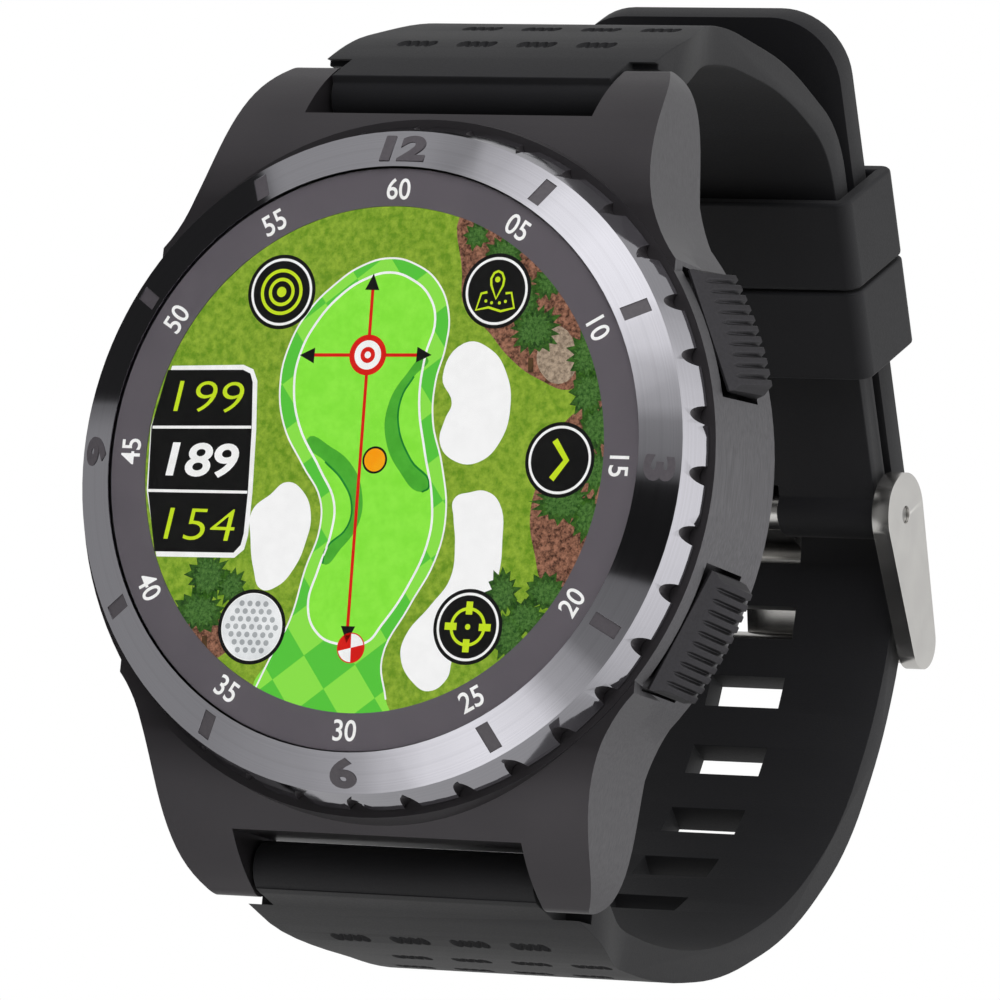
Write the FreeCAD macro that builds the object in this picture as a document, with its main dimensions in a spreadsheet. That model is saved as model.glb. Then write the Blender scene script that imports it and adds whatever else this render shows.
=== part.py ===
import FreeCAD, Part
import Sketcher
import math
import os

# Golf watch with a round display, two pushers on the 3 o'clock side and a strap
# closed through its buckle.  Millimetres.  The origin is the centre of the case
# back's flat face: +Z is 12 o'clock, +X is 3 o'clock, the dial faces -Y and the
# wrist is on the +Y side, inside the strap's loop.

App = FreeCAD
doc = App.newDocument("GolfWatch")

# ---------------------------------------------------------------- driving sizes
SIZES = [
    # case and bezel; "front" values are places along Y
    ("display_front", -14.0, "plane of the picture on the display"),
    ("display_radius", 17.65, "visible display"),
    ("module_radius", 18.6, "carrier behind the display"),
    ("module_depth", 1.4, "carrier thickness"),
    ("lens_radius", 20.3, "cover glass"),
    ("lens_depth", 0.8, "cover glass thickness"),
    ("lens_front", -14.15, "outer face of the cover glass"),
    ("ring_depth", 0.4, "minute ring thickness"),
    ("gasket_depth", 0.25, "flat seal under the minute ring"),
    ("bezel_inner_radius", 20.4, "edge round the glass"),
    ("bezel_inner_front", -14.36, "height of that edge"),
    ("bezel_crest_radius", 23.1, "outer edge of the sloping face"),
    ("bezel_crest_front", -13.08, "height of the outer edge"),
    ("bezel_outer_radius", 23.9, "foot of the toothed wall"),
    ("bezel_foot", -10.65, "back of the bezel"),
    ("bezel_bore_radius", 21.2, "bore over the case's spigot"),
    ("bezel_lip_back", -12.7, "back of the lip round the glass"),
    ("notch_count", 36, "finger notches round the bezel"),
    ("notch_radius", 0.7, "half width of a notch"),
    ("notch_centre", 24.05, "centre of a notch from the axis"),
    ("marker_width", 1.0, "hour marker"),
    ("marker_length", 2.0, "hour marker along the slope"),
    ("marker_depth", 0.25, "depth of the engraved pocket"),
    ("marker_radius", 21.75, "middle of a marker from the axis"),
    ("rim_radius", 24.4, "front edge of the case wall"),
    ("rim_front", -10.55, "front face of the case wall"),
    ("wall_radius", 25.3, "case wall at its widest"),
    ("wall_back", -2.9, "where the wall turns in"),
    ("skirt_radius", 22.9, "case wall at its back face"),
    ("skirt_back", -0.6, "back face of the case wall"),
    ("cavity_radius", 20.4, "room for the electronics"),
    ("spigot_radius", 21.1, "spigot that carries the bezel"),
    ("spigot_bore", 19.3, "window through the front of the case"),
    ("spigot_front", -12.6, "front face of the spigot"),
    ("spigot_back", -11.35, "back of the spigot's lip"),
    ("flange_bore", 18.6, "window through the back flange"),
    ("flange_front", -2.6, "front of the back flange"),
    ("seat_radius", 22.3, "recess for the case back"),
    ("seat_front", -1.4, "floor of that recess"),
    # case back
    ("back_radius", 22.2, "case back"),
    ("back_depth", 1.35, "case back thickness"),
    ("seal_inner", 19.15, "case back seal, inside"),
    ("seal_outer", 19.95, "case back seal, outside"),
    ("seal_front", -1.95, "floor of the seal's groove"),
    ("screw_count", 4, "case back screws"),
    ("screw_circle", 21.2, "radius of the screws' circle"),
    ("screw_radius", 0.6, "screw shank"),
    ("screw_head_radius", 0.9, "screw head"),
    ("screw_head_depth", 0.6, "screw head height"),
    ("screw_length", 3.4, "whole screw"),
    ("pin_count", 4, "charging pins"),
    ("pin_pitch", 2.4, "spacing of the charging pins"),
    ("pin_radius", 0.7, "charging pin"),
    ("pin_length", 2.6, "charging pin"),
    # lugs
    ("lug_gap", 22.4, "space between a pair of lugs"),
    ("lug_end", 25.3, "end wall of the case between the lugs"),
    ("bar_z", 27.4, "spring bars from the centre line"),
    ("bar_y", -3.0, "spring bars from the case back"),
    ("bar_radius", 0.6, "spring bar"),
    ("bar_hole_radius", 0.68, "spring bar's hole"),
    ("bar_length", 25.6, "spring bar over its tips"),
    # pushers; each is made at 3 o'clock and turned to its place
    ("pusher_angle", 25.0, "pushers above and below 3 o'clock"),
    ("pusher_y", -7.0, "middle of a pusher"),
    ("pusher_width", 9.2, "pusher along the rim"),
    ("pusher_height", 4.0, "pusher along Y"),
    ("pusher_base", 24.6, "inner face of a pusher"),
    ("pusher_face", 26.5, "ribbed outer face"),
    ("rib_count", 11, "ribs on a pusher"),
    ("rib_pitch", 0.8, "spacing of the ribs"),
    ("stem_radius", 0.85, "pusher's stem"),
    ("stem_hole_radius", 0.92, "stem's bore"),
    ("stem_end", 19.6, "inner end of the stem"),
    ("well_floor", 23.4, "floor of the pusher's pocket"),
    ("well_width", 9.8, "pocket along the rim"),
    ("well_height", 4.6, "pocket along Y"),
    ("spring_well_floor", 22.3, "floor of the spring's counterbore"),
    ("spring_well_radius", 1.7, "spring's counterbore"),
    ("spring_radius", 1.3, "mean radius of a spring"),
    ("spring_wire", 0.13, "radius of a spring's wire"),
    ("spring_pitch", 0.36, "pitch of a spring pressed flat"),
    ("spring_length", 0.8, "spring as drawn, pressed"),
    ("seal_ring_x", 21.4, "stem seal from the axis"),
    ("seal_ring_wire", 0.2, "radius of the stem seal's cord"),
    ("clip_x", 19.95, "stem clip from the axis"),
    ("clip_depth", 0.25, "stem clip thickness"),
    ("clip_radius", 1.5, "stem clip"),
    # electronics
    ("bracket_radius", 20.0, "display bracket"),
    ("bracket_front", -11.1, "display bracket's face"),
    ("bracket_depth", 0.8, "display bracket thickness"),
    ("bracket_window", 15.0, "opening in the display bracket"),
    ("board_radius", 18.3, "main board"),
    ("board_front", -9.0, "main board's face"),
    ("board_depth", 0.8, "main board thickness"),
    ("chip_side", 7.0, "main processor"),
    ("chip_depth", 0.9, "main processor thickness"),
    ("antenna_side", 12.0, "ceramic antenna"),
    ("antenna_depth", 1.2, "ceramic antenna thickness"),
    ("battery_width", 22.0, "cell along X"),
    ("battery_height", 17.0, "cell along Z"),
    ("battery_depth", 4.6, "cell thickness"),
    ("battery_front", -7.9, "cell's face"),
    ("motor_radius", 4.0, "vibration motor"),
    ("motor_depth", 2.2, "vibration motor thickness"),
    ("beeper_radius", 4.5, "piezo beeper"),
    ("beeper_depth", 0.8, "piezo beeper thickness"),
    ("switch_side", 2.6, "button switch"),
    ("switch_depth", 1.5, "button switch along its plunger"),
    # strap, keepers and buckle
    ("strap_width", 21.8, "strap between the lugs and through the buckle"),
    ("strap_flare", 25.8, "strap beside the case"),
    ("strap_barrel", 1.9, "strap's round end on its spring bar"),
    ("strap_root", 3.2, "strap thickness beside the case"),
    ("strap_body", 2.2, "strap thickness elsewhere"),
    ("slot_width", 6.0, "buckle slot across the strap"),
    ("slot_length", 2.5, "buckle slot along the strap"),
    ("used_slot_length", 3.2, "slot in use, stretched by its tang"),
    ("slot_count", 7, "buckle slots"),
    ("slot_pitch", 5.9, "spacing of the slots"),
    ("strap_lean", 30.0, "strap's closing stretch from upright, degrees"),
    ("strap_lap", 3.3, "strap's tail from the short strap's inner face"),
    ("lap_y", 33.9, "start of the closing stretch, Y"),
    ("lap_z", 26.5, "start of the closing stretch, Z"),
    ("hinge_run", 24.0, "from that start to the buckle's hinge"),
    ("tail_run", 40.3, "straight run of the long strap's tail"),
    ("tail_corner", 5.0, "rounding of the tail's corners"),
    ("keeper_length", 6.7, "keeper along the strap"),
    ("keeper_wall", 1.2, "keeper's wall"),
    ("keeper_gap", 22.6, "room inside a keeper across the strap"),
    ("keeper_room", 6.5, "room inside a keeper through the straps"),
    ("keeper_inside", -0.5, "keeper's inner face from the short strap's"),
    ("keeper_start", -1.1, "upper keeper's top edge"),
    ("keeper_step", 6.9, "from one keeper to the next"),
    ("buckle_gap", 22.7, "room between the buckle's arms"),
    ("arm_depth", 1.35, "thickness of a buckle arm"),
    ("arm_head", 3.1, "arm's round head"),
    ("arm_foot", 2.0, "arm's round foot"),
    ("foot_y", 5.4, "foot from the hinge, Y"),
    ("foot_z", -8.7, "foot from the hinge, Z"),
    ("crossbar_radius", 0.95, "buckle's cross bar"),
    ("crossbar_y", 6.65, "cross bar from the hinge, Y"),
    ("crossbar_z", -9.2, "cross bar from the hinge, Z"),
    ("tang_width", 5.5, "buckle tang"),
    ("tang_depth", 1.1, "buckle tang thickness"),
    ("tang_hub", 1.45, "tang's eye on the hinge bar"),
    ("tang_notch", 6.2, "notch for the tang in the short strap's end"),
    ("hinge_bar_length", 25.0, "buckle's spring bar"),
]

sheet = doc.addObject("Spreadsheet::Sheet", "Sizes")
mm = {}
for row, (alias, value, note) in enumerate(SIZES, start=1):
    sheet.set("A%d" % row, note)
    sheet.set("B%d" % row, str(value))
    sheet.setAlias("B%d" % row, alias)
    mm[alias] = value
doc.recompute()

X_AXIS = App.Vector(1, 0, 0)
Y_AXIS = App.Vector(0, 1, 0)
Z_AXIS = App.Vector(0, 0, 1)
ALONG_Y = App.Rotation(X_AXIS, -90)
ALONG_X = App.Rotation(Y_AXIS, 90)
nodes = []


def keep(item, label):
    """Make an object a sub-part of its own, under the name of its file."""
    item.Label = label
    nodes.append(item)
    return item


# ------------------------------------------------------------ Part building help
def disc(name, radius, depth, front, along=ALONG_Y):
    """A cylinder whose axis is Y, or X, starting at the place 'front' names."""
    item = doc.addObject("Part::Cylinder", name)
    item.Placement = App.Placement(App.Vector(), along)
    item.setExpression("Radius", "Sizes." + radius)
    item.setExpression("Height", depth)
    item.setExpression("Placement.Base.y" if along is ALONG_Y else "Placement.Base.x", front)
    return item


def block(name, width, depth, height, x="0", y="0", z="0"):
    """A box centred on x and z whose near face is at y."""
    item = doc.addObject("Part::Box", name)
    item.setExpression("Length", width)
    item.setExpression("Width", depth)
    item.setExpression("Height", height)
    item.setExpression("Placement.Base.x", "%s - (%s) / 2" % (x, width))
    item.setExpression("Placement.Base.y", y)
    item.setExpression("Placement.Base.z", "%s - (%s) / 2" % (z, height))
    return item


def cut(name, base, *tools):
    """Take each tool out of the base in turn."""
    result = base
    for number, tool in enumerate(tools):
        step = doc.addObject("Part::Cut", "%s%d" % (name, number))
        step.Base = result
        step.Tool = tool
        result = step
    return result


def fuse(name, *items):
    item = doc.addObject("Part::MultiFuse", name)
    item.Shapes = list(items)
    item.Refine = True
    return item


def group(name, items):
    """Separate like solids kept as one sub-part."""
    item = doc.addObject("Part::Compound", name)
    item.Links = list(items)
    return item


def common(name, first, second):
    item = doc.addObject("Part::Common", name)
    item.Base = first
    item.Tool = second
    return item


def turned(name, source, angle):
    """A second copy of a shape, turned about the watch's axis."""
    item = doc.addObject("Part::Feature", name)
    doc.recompute()
    item.Shape = source.Shape.copy()
    item.Placement = App.Placement(App.Vector(), App.Rotation(Y_AXIS, angle)) * item.Placement
    return item


def ring(name, outer, inner, depth, front):
    outside = disc(name + "Outside", outer, depth, front)
    inside = disc(name + "Inside", inner, depth, front)
    return cut(name, outside, inside)


# -------------------------------------------------------- PartDesign building help
def origin_plane(body, role):
    for feature in body.Origin.OriginFeatures:
        if feature.Role == role:
            return feature
    raise ValueError(role)


def new_sketch(body, name, role):
    sketch = body.newObject("Sketcher::SketchObject", name)
    sketch.AttachmentSupport = [(origin_plane(body, role), "")]
    sketch.MapMode = "FlatFace"
    return sketch


def bound_outline(sketch, corners):
    """A closed polygon whose every corner is tied to the sheet by two expressions."""
    count = len(corners)
    for index in range(count):
        turn = 2 * math.pi * index / count
        after = 2 * math.pi * (index + 1) / count
        start = App.Vector(10 * math.cos(turn), 10 * math.sin(turn), 0)
        end = App.Vector(10 * math.cos(after), 10 * math.sin(after), 0)
        sketch.addGeometry(Part.LineSegment(start, end), False)
    for index in range(count):
        following = (index + 1) % count
        sketch.addConstraint(Sketcher.Constraint("Coincident", index, 2, following, 1))
    for index, (across, up) in enumerate(corners):
        for kind, text in (("DistanceX", across), ("DistanceY", up)):
            number = sketch.addConstraint(Sketcher.Constraint(kind, -1, 1, index, 1, 1.0))
            sketch.setExpression("Constraints[%d]" % number, text)


def flat_outline(sketch, edges):
    """A closed outline of straight and round edges."""
    for edge in edges:
        curve = edge.Curve
        first, last = edge.FirstParameter, edge.LastParameter
        if isinstance(curve, Part.Circle):
            sketch.addGeometry(Part.ArcOfCircle(curve, first, last), False)
        else:
            sketch.addGeometry(Part.LineSegment(edge.valueAt(first), edge.valueAt(last)), False)


def rounded(points, radii):
    """Edges of a path through the points, each inner corner rounded to its radius."""
    flat = [App.Vector(a, b, 0) for a, b in points]
    edges = []
    start = flat[0]
    for before, corner, after, radius in zip(flat, flat[1:], flat[2:], radii):
        back = (before - corner).normalize()
        ahead = (after - corner).normalize()
        half = back.getAngle(ahead) / 2
        reach = radius / math.tan(half)
        middle = (back + ahead).normalize()
        enter = corner + back * reach
        leave = corner + ahead * reach
        nearest = corner + middle * (radius / math.sin(half) - radius)
        edges.append(Part.LineSegment(start, enter).toShape())
        edges.append(Part.Arc(enter, nearest, leave).toShape())
        start = leave
    edges.append(Part.LineSegment(start, flat[-1]).toShape())
    return edges


def offset_points(points, thickness, side):
    """Points moved sideways by their own thickness, mitred at each corner."""
    flat = [App.Vector(a, b, 0) for a, b in points]
    result = []
    for index, point in enumerate(flat):
        here = flat[max(index - 1, 0)]
        there = flat[min(index + 1, len(flat) - 1)]
        first = (point - here).normalize() if index else (there - point).normalize()
        second = (there - point).normalize() if index < len(flat) - 1 else first
        normal = App.Vector(-first.y - second.y, first.x + second.x, 0).normalize()
        across = App.Vector(-first.y, first.x, 0)
        moved = point + normal * (side * thickness[index] / normal.dot(across))
        result.append((moved.x, moved.y))
    return result


def band_edges(inner, radii, thickness, side):
    """The closed side view of a strap from its inner line and its thickness."""
    outer = offset_points(inner, thickness, side)
    inner_edges = rounded(inner, radii)
    outer_edges = rounded(outer, radii)
    first = Part.LineSegment(App.Vector(*inner[0], 0), App.Vector(*outer[0], 0)).toShape()
    last = Part.LineSegment(App.Vector(*inner[-1], 0), App.Vector(*outer[-1], 0)).toShape()
    return inner_edges + outer_edges + [first, last]


def pad_body(name, role, length, draw, *details):
    """A body that is one sketch padded both ways by a length from the sheet."""
    body = doc.addObject("PartDesign::Body", name)
    sketch = new_sketch(body, name + "Sketch", role)
    draw(sketch, *details)
    pad = body.newObject("PartDesign::Pad", name + "Pad")
    pad.Profile = sketch
    pad.Midplane = True
    pad.setExpression("Length", length)
    return body


def revolved_body(name, corners):
    """A body turned about the watch's axis from a radius and Y outline."""
    body = doc.addObject("PartDesign::Body", name)
    sketch = new_sketch(body, name + "Sketch", "XY_Plane")
    bound_outline(sketch, corners)
    turn = body.newObject("PartDesign::Revolution", name + "Turn")
    turn.Profile = sketch
    turn.ReferenceAxis = (sketch, ["V_Axis"])
    turn.Angle = 360
    return body


# ---------------------------------------------------------------- front of the watch
def marker_boxes(prefix, depth):
    """Hour marker boxes on the bezel's slope, at every hour but 12, 3, 6 and 9."""
    slope = math.atan2(mm["bezel_crest_front"] - mm["bezel_inner_front"],
                       mm["bezel_crest_radius"] - mm["bezel_inner_radius"])
    along = mm["marker_radius"] - mm["bezel_inner_radius"]
    surface = mm["bezel_inner_front"] + along * math.tan(slope)
    boxes = []
    for hour in range(12):
        if hour % 3 == 0:
            continue
        box = doc.addObject("Part::Box", "%s%d" % (prefix, hour))
        box.setExpression("Length", "Sizes.marker_length")
        box.setExpression("Width", depth)
        box.setExpression("Height", "Sizes.marker_width")
        corner = App.Vector(-mm["marker_length"] / 2, 0, -mm["marker_width"] / 2)
        place = App.Placement(App.Vector(mm["marker_radius"], surface, 0),
                              App.Rotation(Z_AXIS, math.degrees(slope)))
        place = App.Placement(App.Vector(), App.Rotation(Y_AXIS, 30.0 * hour)) * place
        lift = App.Vector(0, 0, 0)
        if prefix == "MarkerCut":
            lift = App.Vector(0, mm["marker_depth"] - 1.0, 0)
        else:
            lift = App.Vector(0, 0.08, 0)
        box.Placement = place * App.Placement(corner + lift, App.Rotation())
        boxes.append(box)
    return boxes


def make_bezel():
    """Toothed metal ring with a sloping face, notches and pockets for the markers."""
    body = revolved_body("Bezel", [
        ("Sizes.bezel_inner_radius", "Sizes.bezel_inner_front"),
        ("Sizes.bezel_crest_radius", "Sizes.bezel_crest_front"),
        ("Sizes.bezel_outer_radius", "Sizes.bezel_foot"),
        ("Sizes.bezel_bore_radius", "Sizes.bezel_foot"),
        ("Sizes.bezel_bore_radius", "Sizes.bezel_lip_back"),
        ("Sizes.bezel_inner_radius", "Sizes.bezel_lip_back"),
    ])
    sketch = new_sketch(body, "BezelNotch", "XZ_Plane")
    centre = App.Vector(0, mm["notch_centre"], 0)
    sketch.addGeometry(Part.Circle(centre, Z_AXIS, mm["notch_radius"]), False)
    sketch.addConstraint(Sketcher.Constraint("PointOnObject", 0, 3, -2))
    number = sketch.addConstraint(Sketcher.Constraint("DistanceY", -1, 1, 0, 3, centre.y))
    sketch.setExpression("Constraints[%d]" % number, "Sizes.notch_centre")
    number = sketch.addConstraint(Sketcher.Constraint("Radius", 0, mm["notch_radius"]))
    sketch.setExpression("Constraints[%d]" % number, "Sizes.notch_radius")
    notch = body.newObject("PartDesign::Pocket", "Notch")
    notch.Profile = sketch
    notch.Type = 1
    notch.Midplane = True
    pattern = body.newObject("PartDesign::PolarPattern", "Notches")
    pattern.Originals = [notch]
    pattern.Axis = (sketch, ["N_Axis"])
    pattern.Angle = 360
    pattern.setExpression("Occurrences", "Sizes.notch_count")
    body.Tip = pattern
    keep(cut("BezelCut", body, *marker_boxes("MarkerCut", "1")), "bezel_ring")


def make_front():
    """Cover glass, minute ring, display and the seal under them."""
    markers = marker_boxes("Marker", "Sizes.marker_depth - 0.1")
    keep(group("Markers", markers), "hour_markers")
    keep(disc("Lens", "lens_radius", "Sizes.lens_depth", "Sizes.lens_front"), "glass_lens")
    under = "Sizes.lens_front + Sizes.lens_depth"
    keep(ring("MinuteRing", "lens_radius", "display_radius", "Sizes.ring_depth", under),
         "minute_ring")
    seal = under + " + Sizes.ring_depth"
    keep(ring("LensSeal", "lens_radius", "spigot_bore", "Sizes.gasket_depth", seal), "lens_gasket")
    panel = disc("Panel", "display_radius", "Sizes.ring_depth", under)
    panel.Radius = mm["display_radius"] - 0.03
    panel.setExpression("Radius", "Sizes.display_radius - 0.03")
    carrier = disc("Carrier", "module_radius", "Sizes.module_depth", seal)
    keep(fuse("Display", panel, carrier), "display_module")
    bracket = ring("Bracket", "bracket_radius", "bracket_window", "Sizes.bracket_depth",
                   "Sizes.bracket_front")
    keep(bracket, "display_bracket")


# ---------------------------------------------------------------------- the case
def lug_side(sketch):
    """Side view of the case with both pairs of lugs, Y across and Z up."""
    front_low = App.Vector(-10.5, -18.5, 0)
    front_high = App.Vector(-10.5, 18.5, 0)
    tip_high = App.Vector(-3.9, 29.1, 0)
    tip_low = App.Vector(-3.9, -29.1, 0)
    edges = [Part.LineSegment(front_low, front_high).toShape()]
    for side in (1, -1):
        start = front_high if side == 1 else front_low
        tip = tip_high if side == 1 else tip_low
        under = App.Vector(-1.5, 28.4 * side, 0)
        heel = App.Vector(-2.2, 20.0 * side, 0)
        belly = App.Vector(-8.2, 24.9 * side, 0)
        nose = App.Vector(-2.4, 29.35 * side, 0)
        sole = App.Vector(-1.3, 24.5 * side, 0)
        edges.append(Part.Arc(start, belly, tip).toShape())
        edges.append(Part.Arc(tip, nose, under).toShape())
        edges.append(Part.Arc(under, sole, heel).toShape())
    edges.append(Part.LineSegment(App.Vector(-2.2, 20.0, 0), App.Vector(-2.2, -20.0, 0)).toShape())
    flat_outline(sketch, edges)


def lug_plan(sketch):
    """Front view of the lugs: waisted sides and rounded tips, X across and Z up."""
    quarter = [(19.9, 15.0), (17.75, 18.7), (16.85, 22.2), (16.3, 25.6), (15.75, 27.7),
               (14.4, 29.6)]
    sides = []
    for across, up in ((1, 1), (-1, 1), (-1, -1), (1, -1)):
        side = [App.Vector(x * across, z * up, 0) for x, z in quarter]
        sides.append(side if across == up else side[::-1])
    for side, following in zip(sides, sides[1:] + sides[:1]):
        curve = Part.BSplineCurve()
        curve.interpolate(side)
        sketch.addGeometry(curve, False)
        sketch.addGeometry(Part.LineSegment(side[-1], following[0]), False)


def screw_places(angle_offset=45.0):
    count = int(mm["screw_count"])
    for index in range(count):
        turn = math.radians(angle_offset + 360.0 * index / count)
        yield mm["screw_circle"] * math.cos(turn), mm["screw_circle"] * math.sin(turn)


def pusher_tools(angle, prefix):
    """What a pusher needs cut from the case wall: pocket, spring's well and bore."""
    pocket = block(prefix + "Pocket", "10", "Sizes.well_height", "Sizes.well_width",
                   "Sizes.well_floor + 5", "Sizes.pusher_y - Sizes.well_height / 2")
    well = disc(prefix + "Well", "spring_well_radius", "2", "Sizes.spring_well_floor", ALONG_X)
    well.setExpression("Placement.Base.y", "Sizes.pusher_y")
    bore = disc(prefix + "Bore", "stem_hole_radius", "6", "Sizes.cavity_radius - 2", ALONG_X)
    bore.setExpression("Placement.Base.y", "Sizes.pusher_y")
    groove = disc(prefix + "Groove", "stem_radius", "2 * Sizes.seal_ring_wire + 0.04",
                  "Sizes.seal_ring_x - Sizes.seal_ring_wire - 0.02", ALONG_X)
    groove.setExpression("Radius", "Sizes.stem_radius + 2 * Sizes.seal_ring_wire + 0.05")
    groove.setExpression("Placement.Base.y", "Sizes.pusher_y")
    tool = fuse(prefix + "Tool", pocket, well, bore, groove)
    return turned(prefix + "Turned", tool, angle)


def make_case():
    """Machined case: round wall, four lugs, pockets for the pushers, seat for the back."""
    wall = revolved_body("CaseWall", [
        ("Sizes.spigot_bore", "Sizes.spigot_front"),
        ("Sizes.spigot_radius", "Sizes.spigot_front"),
        ("Sizes.spigot_radius", "Sizes.rim_front"),
        ("Sizes.rim_radius", "Sizes.rim_front"),
        ("Sizes.wall_radius", "Sizes.wall_back"),
        ("Sizes.skirt_radius", "Sizes.skirt_back"),
        ("Sizes.seat_radius", "Sizes.skirt_back"),
        ("Sizes.seat_radius", "Sizes.seat_front"),
        ("Sizes.flange_bore", "Sizes.seat_front"),
        ("Sizes.flange_bore", "Sizes.flange_front"),
        ("Sizes.cavity_radius", "Sizes.flange_front"),
        ("Sizes.cavity_radius", "Sizes.spigot_back"),
        ("Sizes.spigot_bore", "Sizes.spigot_back"),
    ])
    side = pad_body("LugSide", "YZ_Plane", "40", lug_side)
    plan = pad_body("LugPlan", "XZ_Plane", "40", lug_plan)
    lugs = common("LugBlock", side, plan)
    core = disc("LugCore", "rim_radius", "30", "-15")
    core.setExpression("Radius", "Sizes.rim_radius - 0.6")
    horns = cut("LugHorns", lugs, core)
    gaps = []
    for number, sign in enumerate(("", "-")):
        gap = block("LugGap%d" % number, "Sizes.lug_gap", "30", "10", "0", "-15",
                    "%s(Sizes.lug_end + 5)" % sign)
        gaps.append(gap)
    bars = []
    for number, sign in enumerate(("", "-")):
        bar = disc("LugBore%d" % number, "bar_hole_radius", "Sizes.bar_length + 0.2",
                   "-(Sizes.bar_length + 0.2) / 2", ALONG_X)
        bar.setExpression("Placement.Base.y", "Sizes.bar_y")
        bar.setExpression("Placement.Base.z", sign + "Sizes.bar_z")
        bars.append(bar)
    solid = cut("CaseGaps", fuse("CaseBlock", wall, horns), *(gaps + bars))
    groove = ring("SealGroove", "seal_outer", "seal_inner", "3", "Sizes.seal_front")
    groove.Base.setExpression("Radius", "Sizes.seal_outer + 0.05")
    groove.Tool.setExpression("Radius", "Sizes.seal_inner - 0.05")
    holes = []
    for number, (x, z) in enumerate(screw_places()):
        hole = disc("ScrewHole%d" % number, "screw_radius", "Sizes.screw_length",
                    "Sizes.seat_front - Sizes.screw_length + 1")
        hole.Placement.Base = App.Vector(x, 0, z)
        hole.setExpression("Radius", "Sizes.screw_radius + 0.02")
        hole.setExpression("Placement.Base.y", "Sizes.seat_front - Sizes.screw_length + 1")
        holes.append(hole)
    upper = pusher_tools(-mm["pusher_angle"], "UpperPusher")
    lower = pusher_tools(mm["pusher_angle"], "LowerPusher")
    keep(cut("Case", solid, groove, upper, lower, *holes), "case_body")


def make_case_back():
    """Screwed back with its seal, four screws and the charging pins."""
    front = "-Sizes.back_depth"
    plate = disc("BackPlate", "back_radius", "Sizes.back_depth", front)
    tools = []
    screws = []
    for number, (x, z) in enumerate(screw_places()):
        shank = disc("BackShank%d" % number, "screw_radius", "4", "-3")
        shank.Placement.Base = App.Vector(x, 0, z)
        shank.setExpression("Radius", "Sizes.screw_radius + 0.05")
        head = disc("BackHead%d" % number, "screw_head_radius", "2", "-Sizes.screw_head_depth - 0.05")
        head.Placement.Base = App.Vector(x, 0, z)
        head.setExpression("Radius", "Sizes.screw_head_radius + 0.04")
        tools.extend((shank, head))
        body = disc("ScrewShank%d" % number, "screw_radius", "Sizes.screw_length",
                    "-Sizes.screw_length - 0.05")
        body.Placement.Base = App.Vector(x, 0, z)
        cap = disc("ScrewHead%d" % number, "screw_head_radius", "Sizes.screw_head_depth",
                   "-Sizes.screw_head_depth - 0.05")
        cap.Placement.Base = App.Vector(x, 0, z)
        slot = block("ScrewSlot%d" % number, "2.4", "0.3", "0.3", str(x), "-0.35", str(z))
        screws.append(cut("Screw%d" % number, fuse("ScrewBlank%d" % number, body, cap), slot))
    pins = []
    for number in range(int(mm["pin_count"])):
        x = (number - (mm["pin_count"] - 1) / 2) * mm["pin_pitch"]
        pin = disc("Pin%d" % number, "pin_radius", "Sizes.pin_length", "-Sizes.pin_length")
        pin.Placement.Base = App.Vector(x, 0, -14.0)
        pins.append(pin)
        bore = disc("PinBore%d" % number, "pin_radius", "4", "-3")
        bore.Placement.Base = App.Vector(x, 0, -14.0)
        bore.setExpression("Radius", "Sizes.pin_radius + 0.01")
        tools.append(bore)
    keep(cut("Back", plate, *tools), "case_back")
    keep(group("Screws", screws), "back_screws")
    keep(group("Pins", pins), "charging_pins")
    keep(ring("BackSeal", "seal_outer", "seal_inner", "0.58", "Sizes.seal_front"), "back_gasket")


# ---------------------------------------------------------------------- pushers
def pusher_outline(sketch):
    """Front view of a pusher at 3 o'clock: flat inside, ribbed and curved outside."""
    half = mm["pusher_width"] / 2
    base = mm["pusher_base"]
    face = mm["pusher_face"]
    count = int(mm["rib_count"])
    step = mm["rib_pitch"]
    points = [(base, -half), (face - 1.1, -half)]
    for index in range(count):
        middle = (index - (count - 1) / 2) * step
        for offset, depth in ((-0.36, 0.32), (-0.2, 0.0), (0.2, 0.0), (0.36, 0.32)):
            z = middle + offset * step / 0.8
            points.append((math.sqrt(face ** 2 - z ** 2) - depth, z))
    points.extend([(face - 1.1, half), (base, half)])
    for start, end in zip(points, points[1:] + points[:1]):
        first = App.Vector(start[0], start[1], 0)
        last = App.Vector(end[0], end[1], 0)
        sketch.addGeometry(Part.LineSegment(first, last), False)


# a coil is made of half turns, so that each face of its wire is short
HALF_TURN = 0.5


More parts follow.
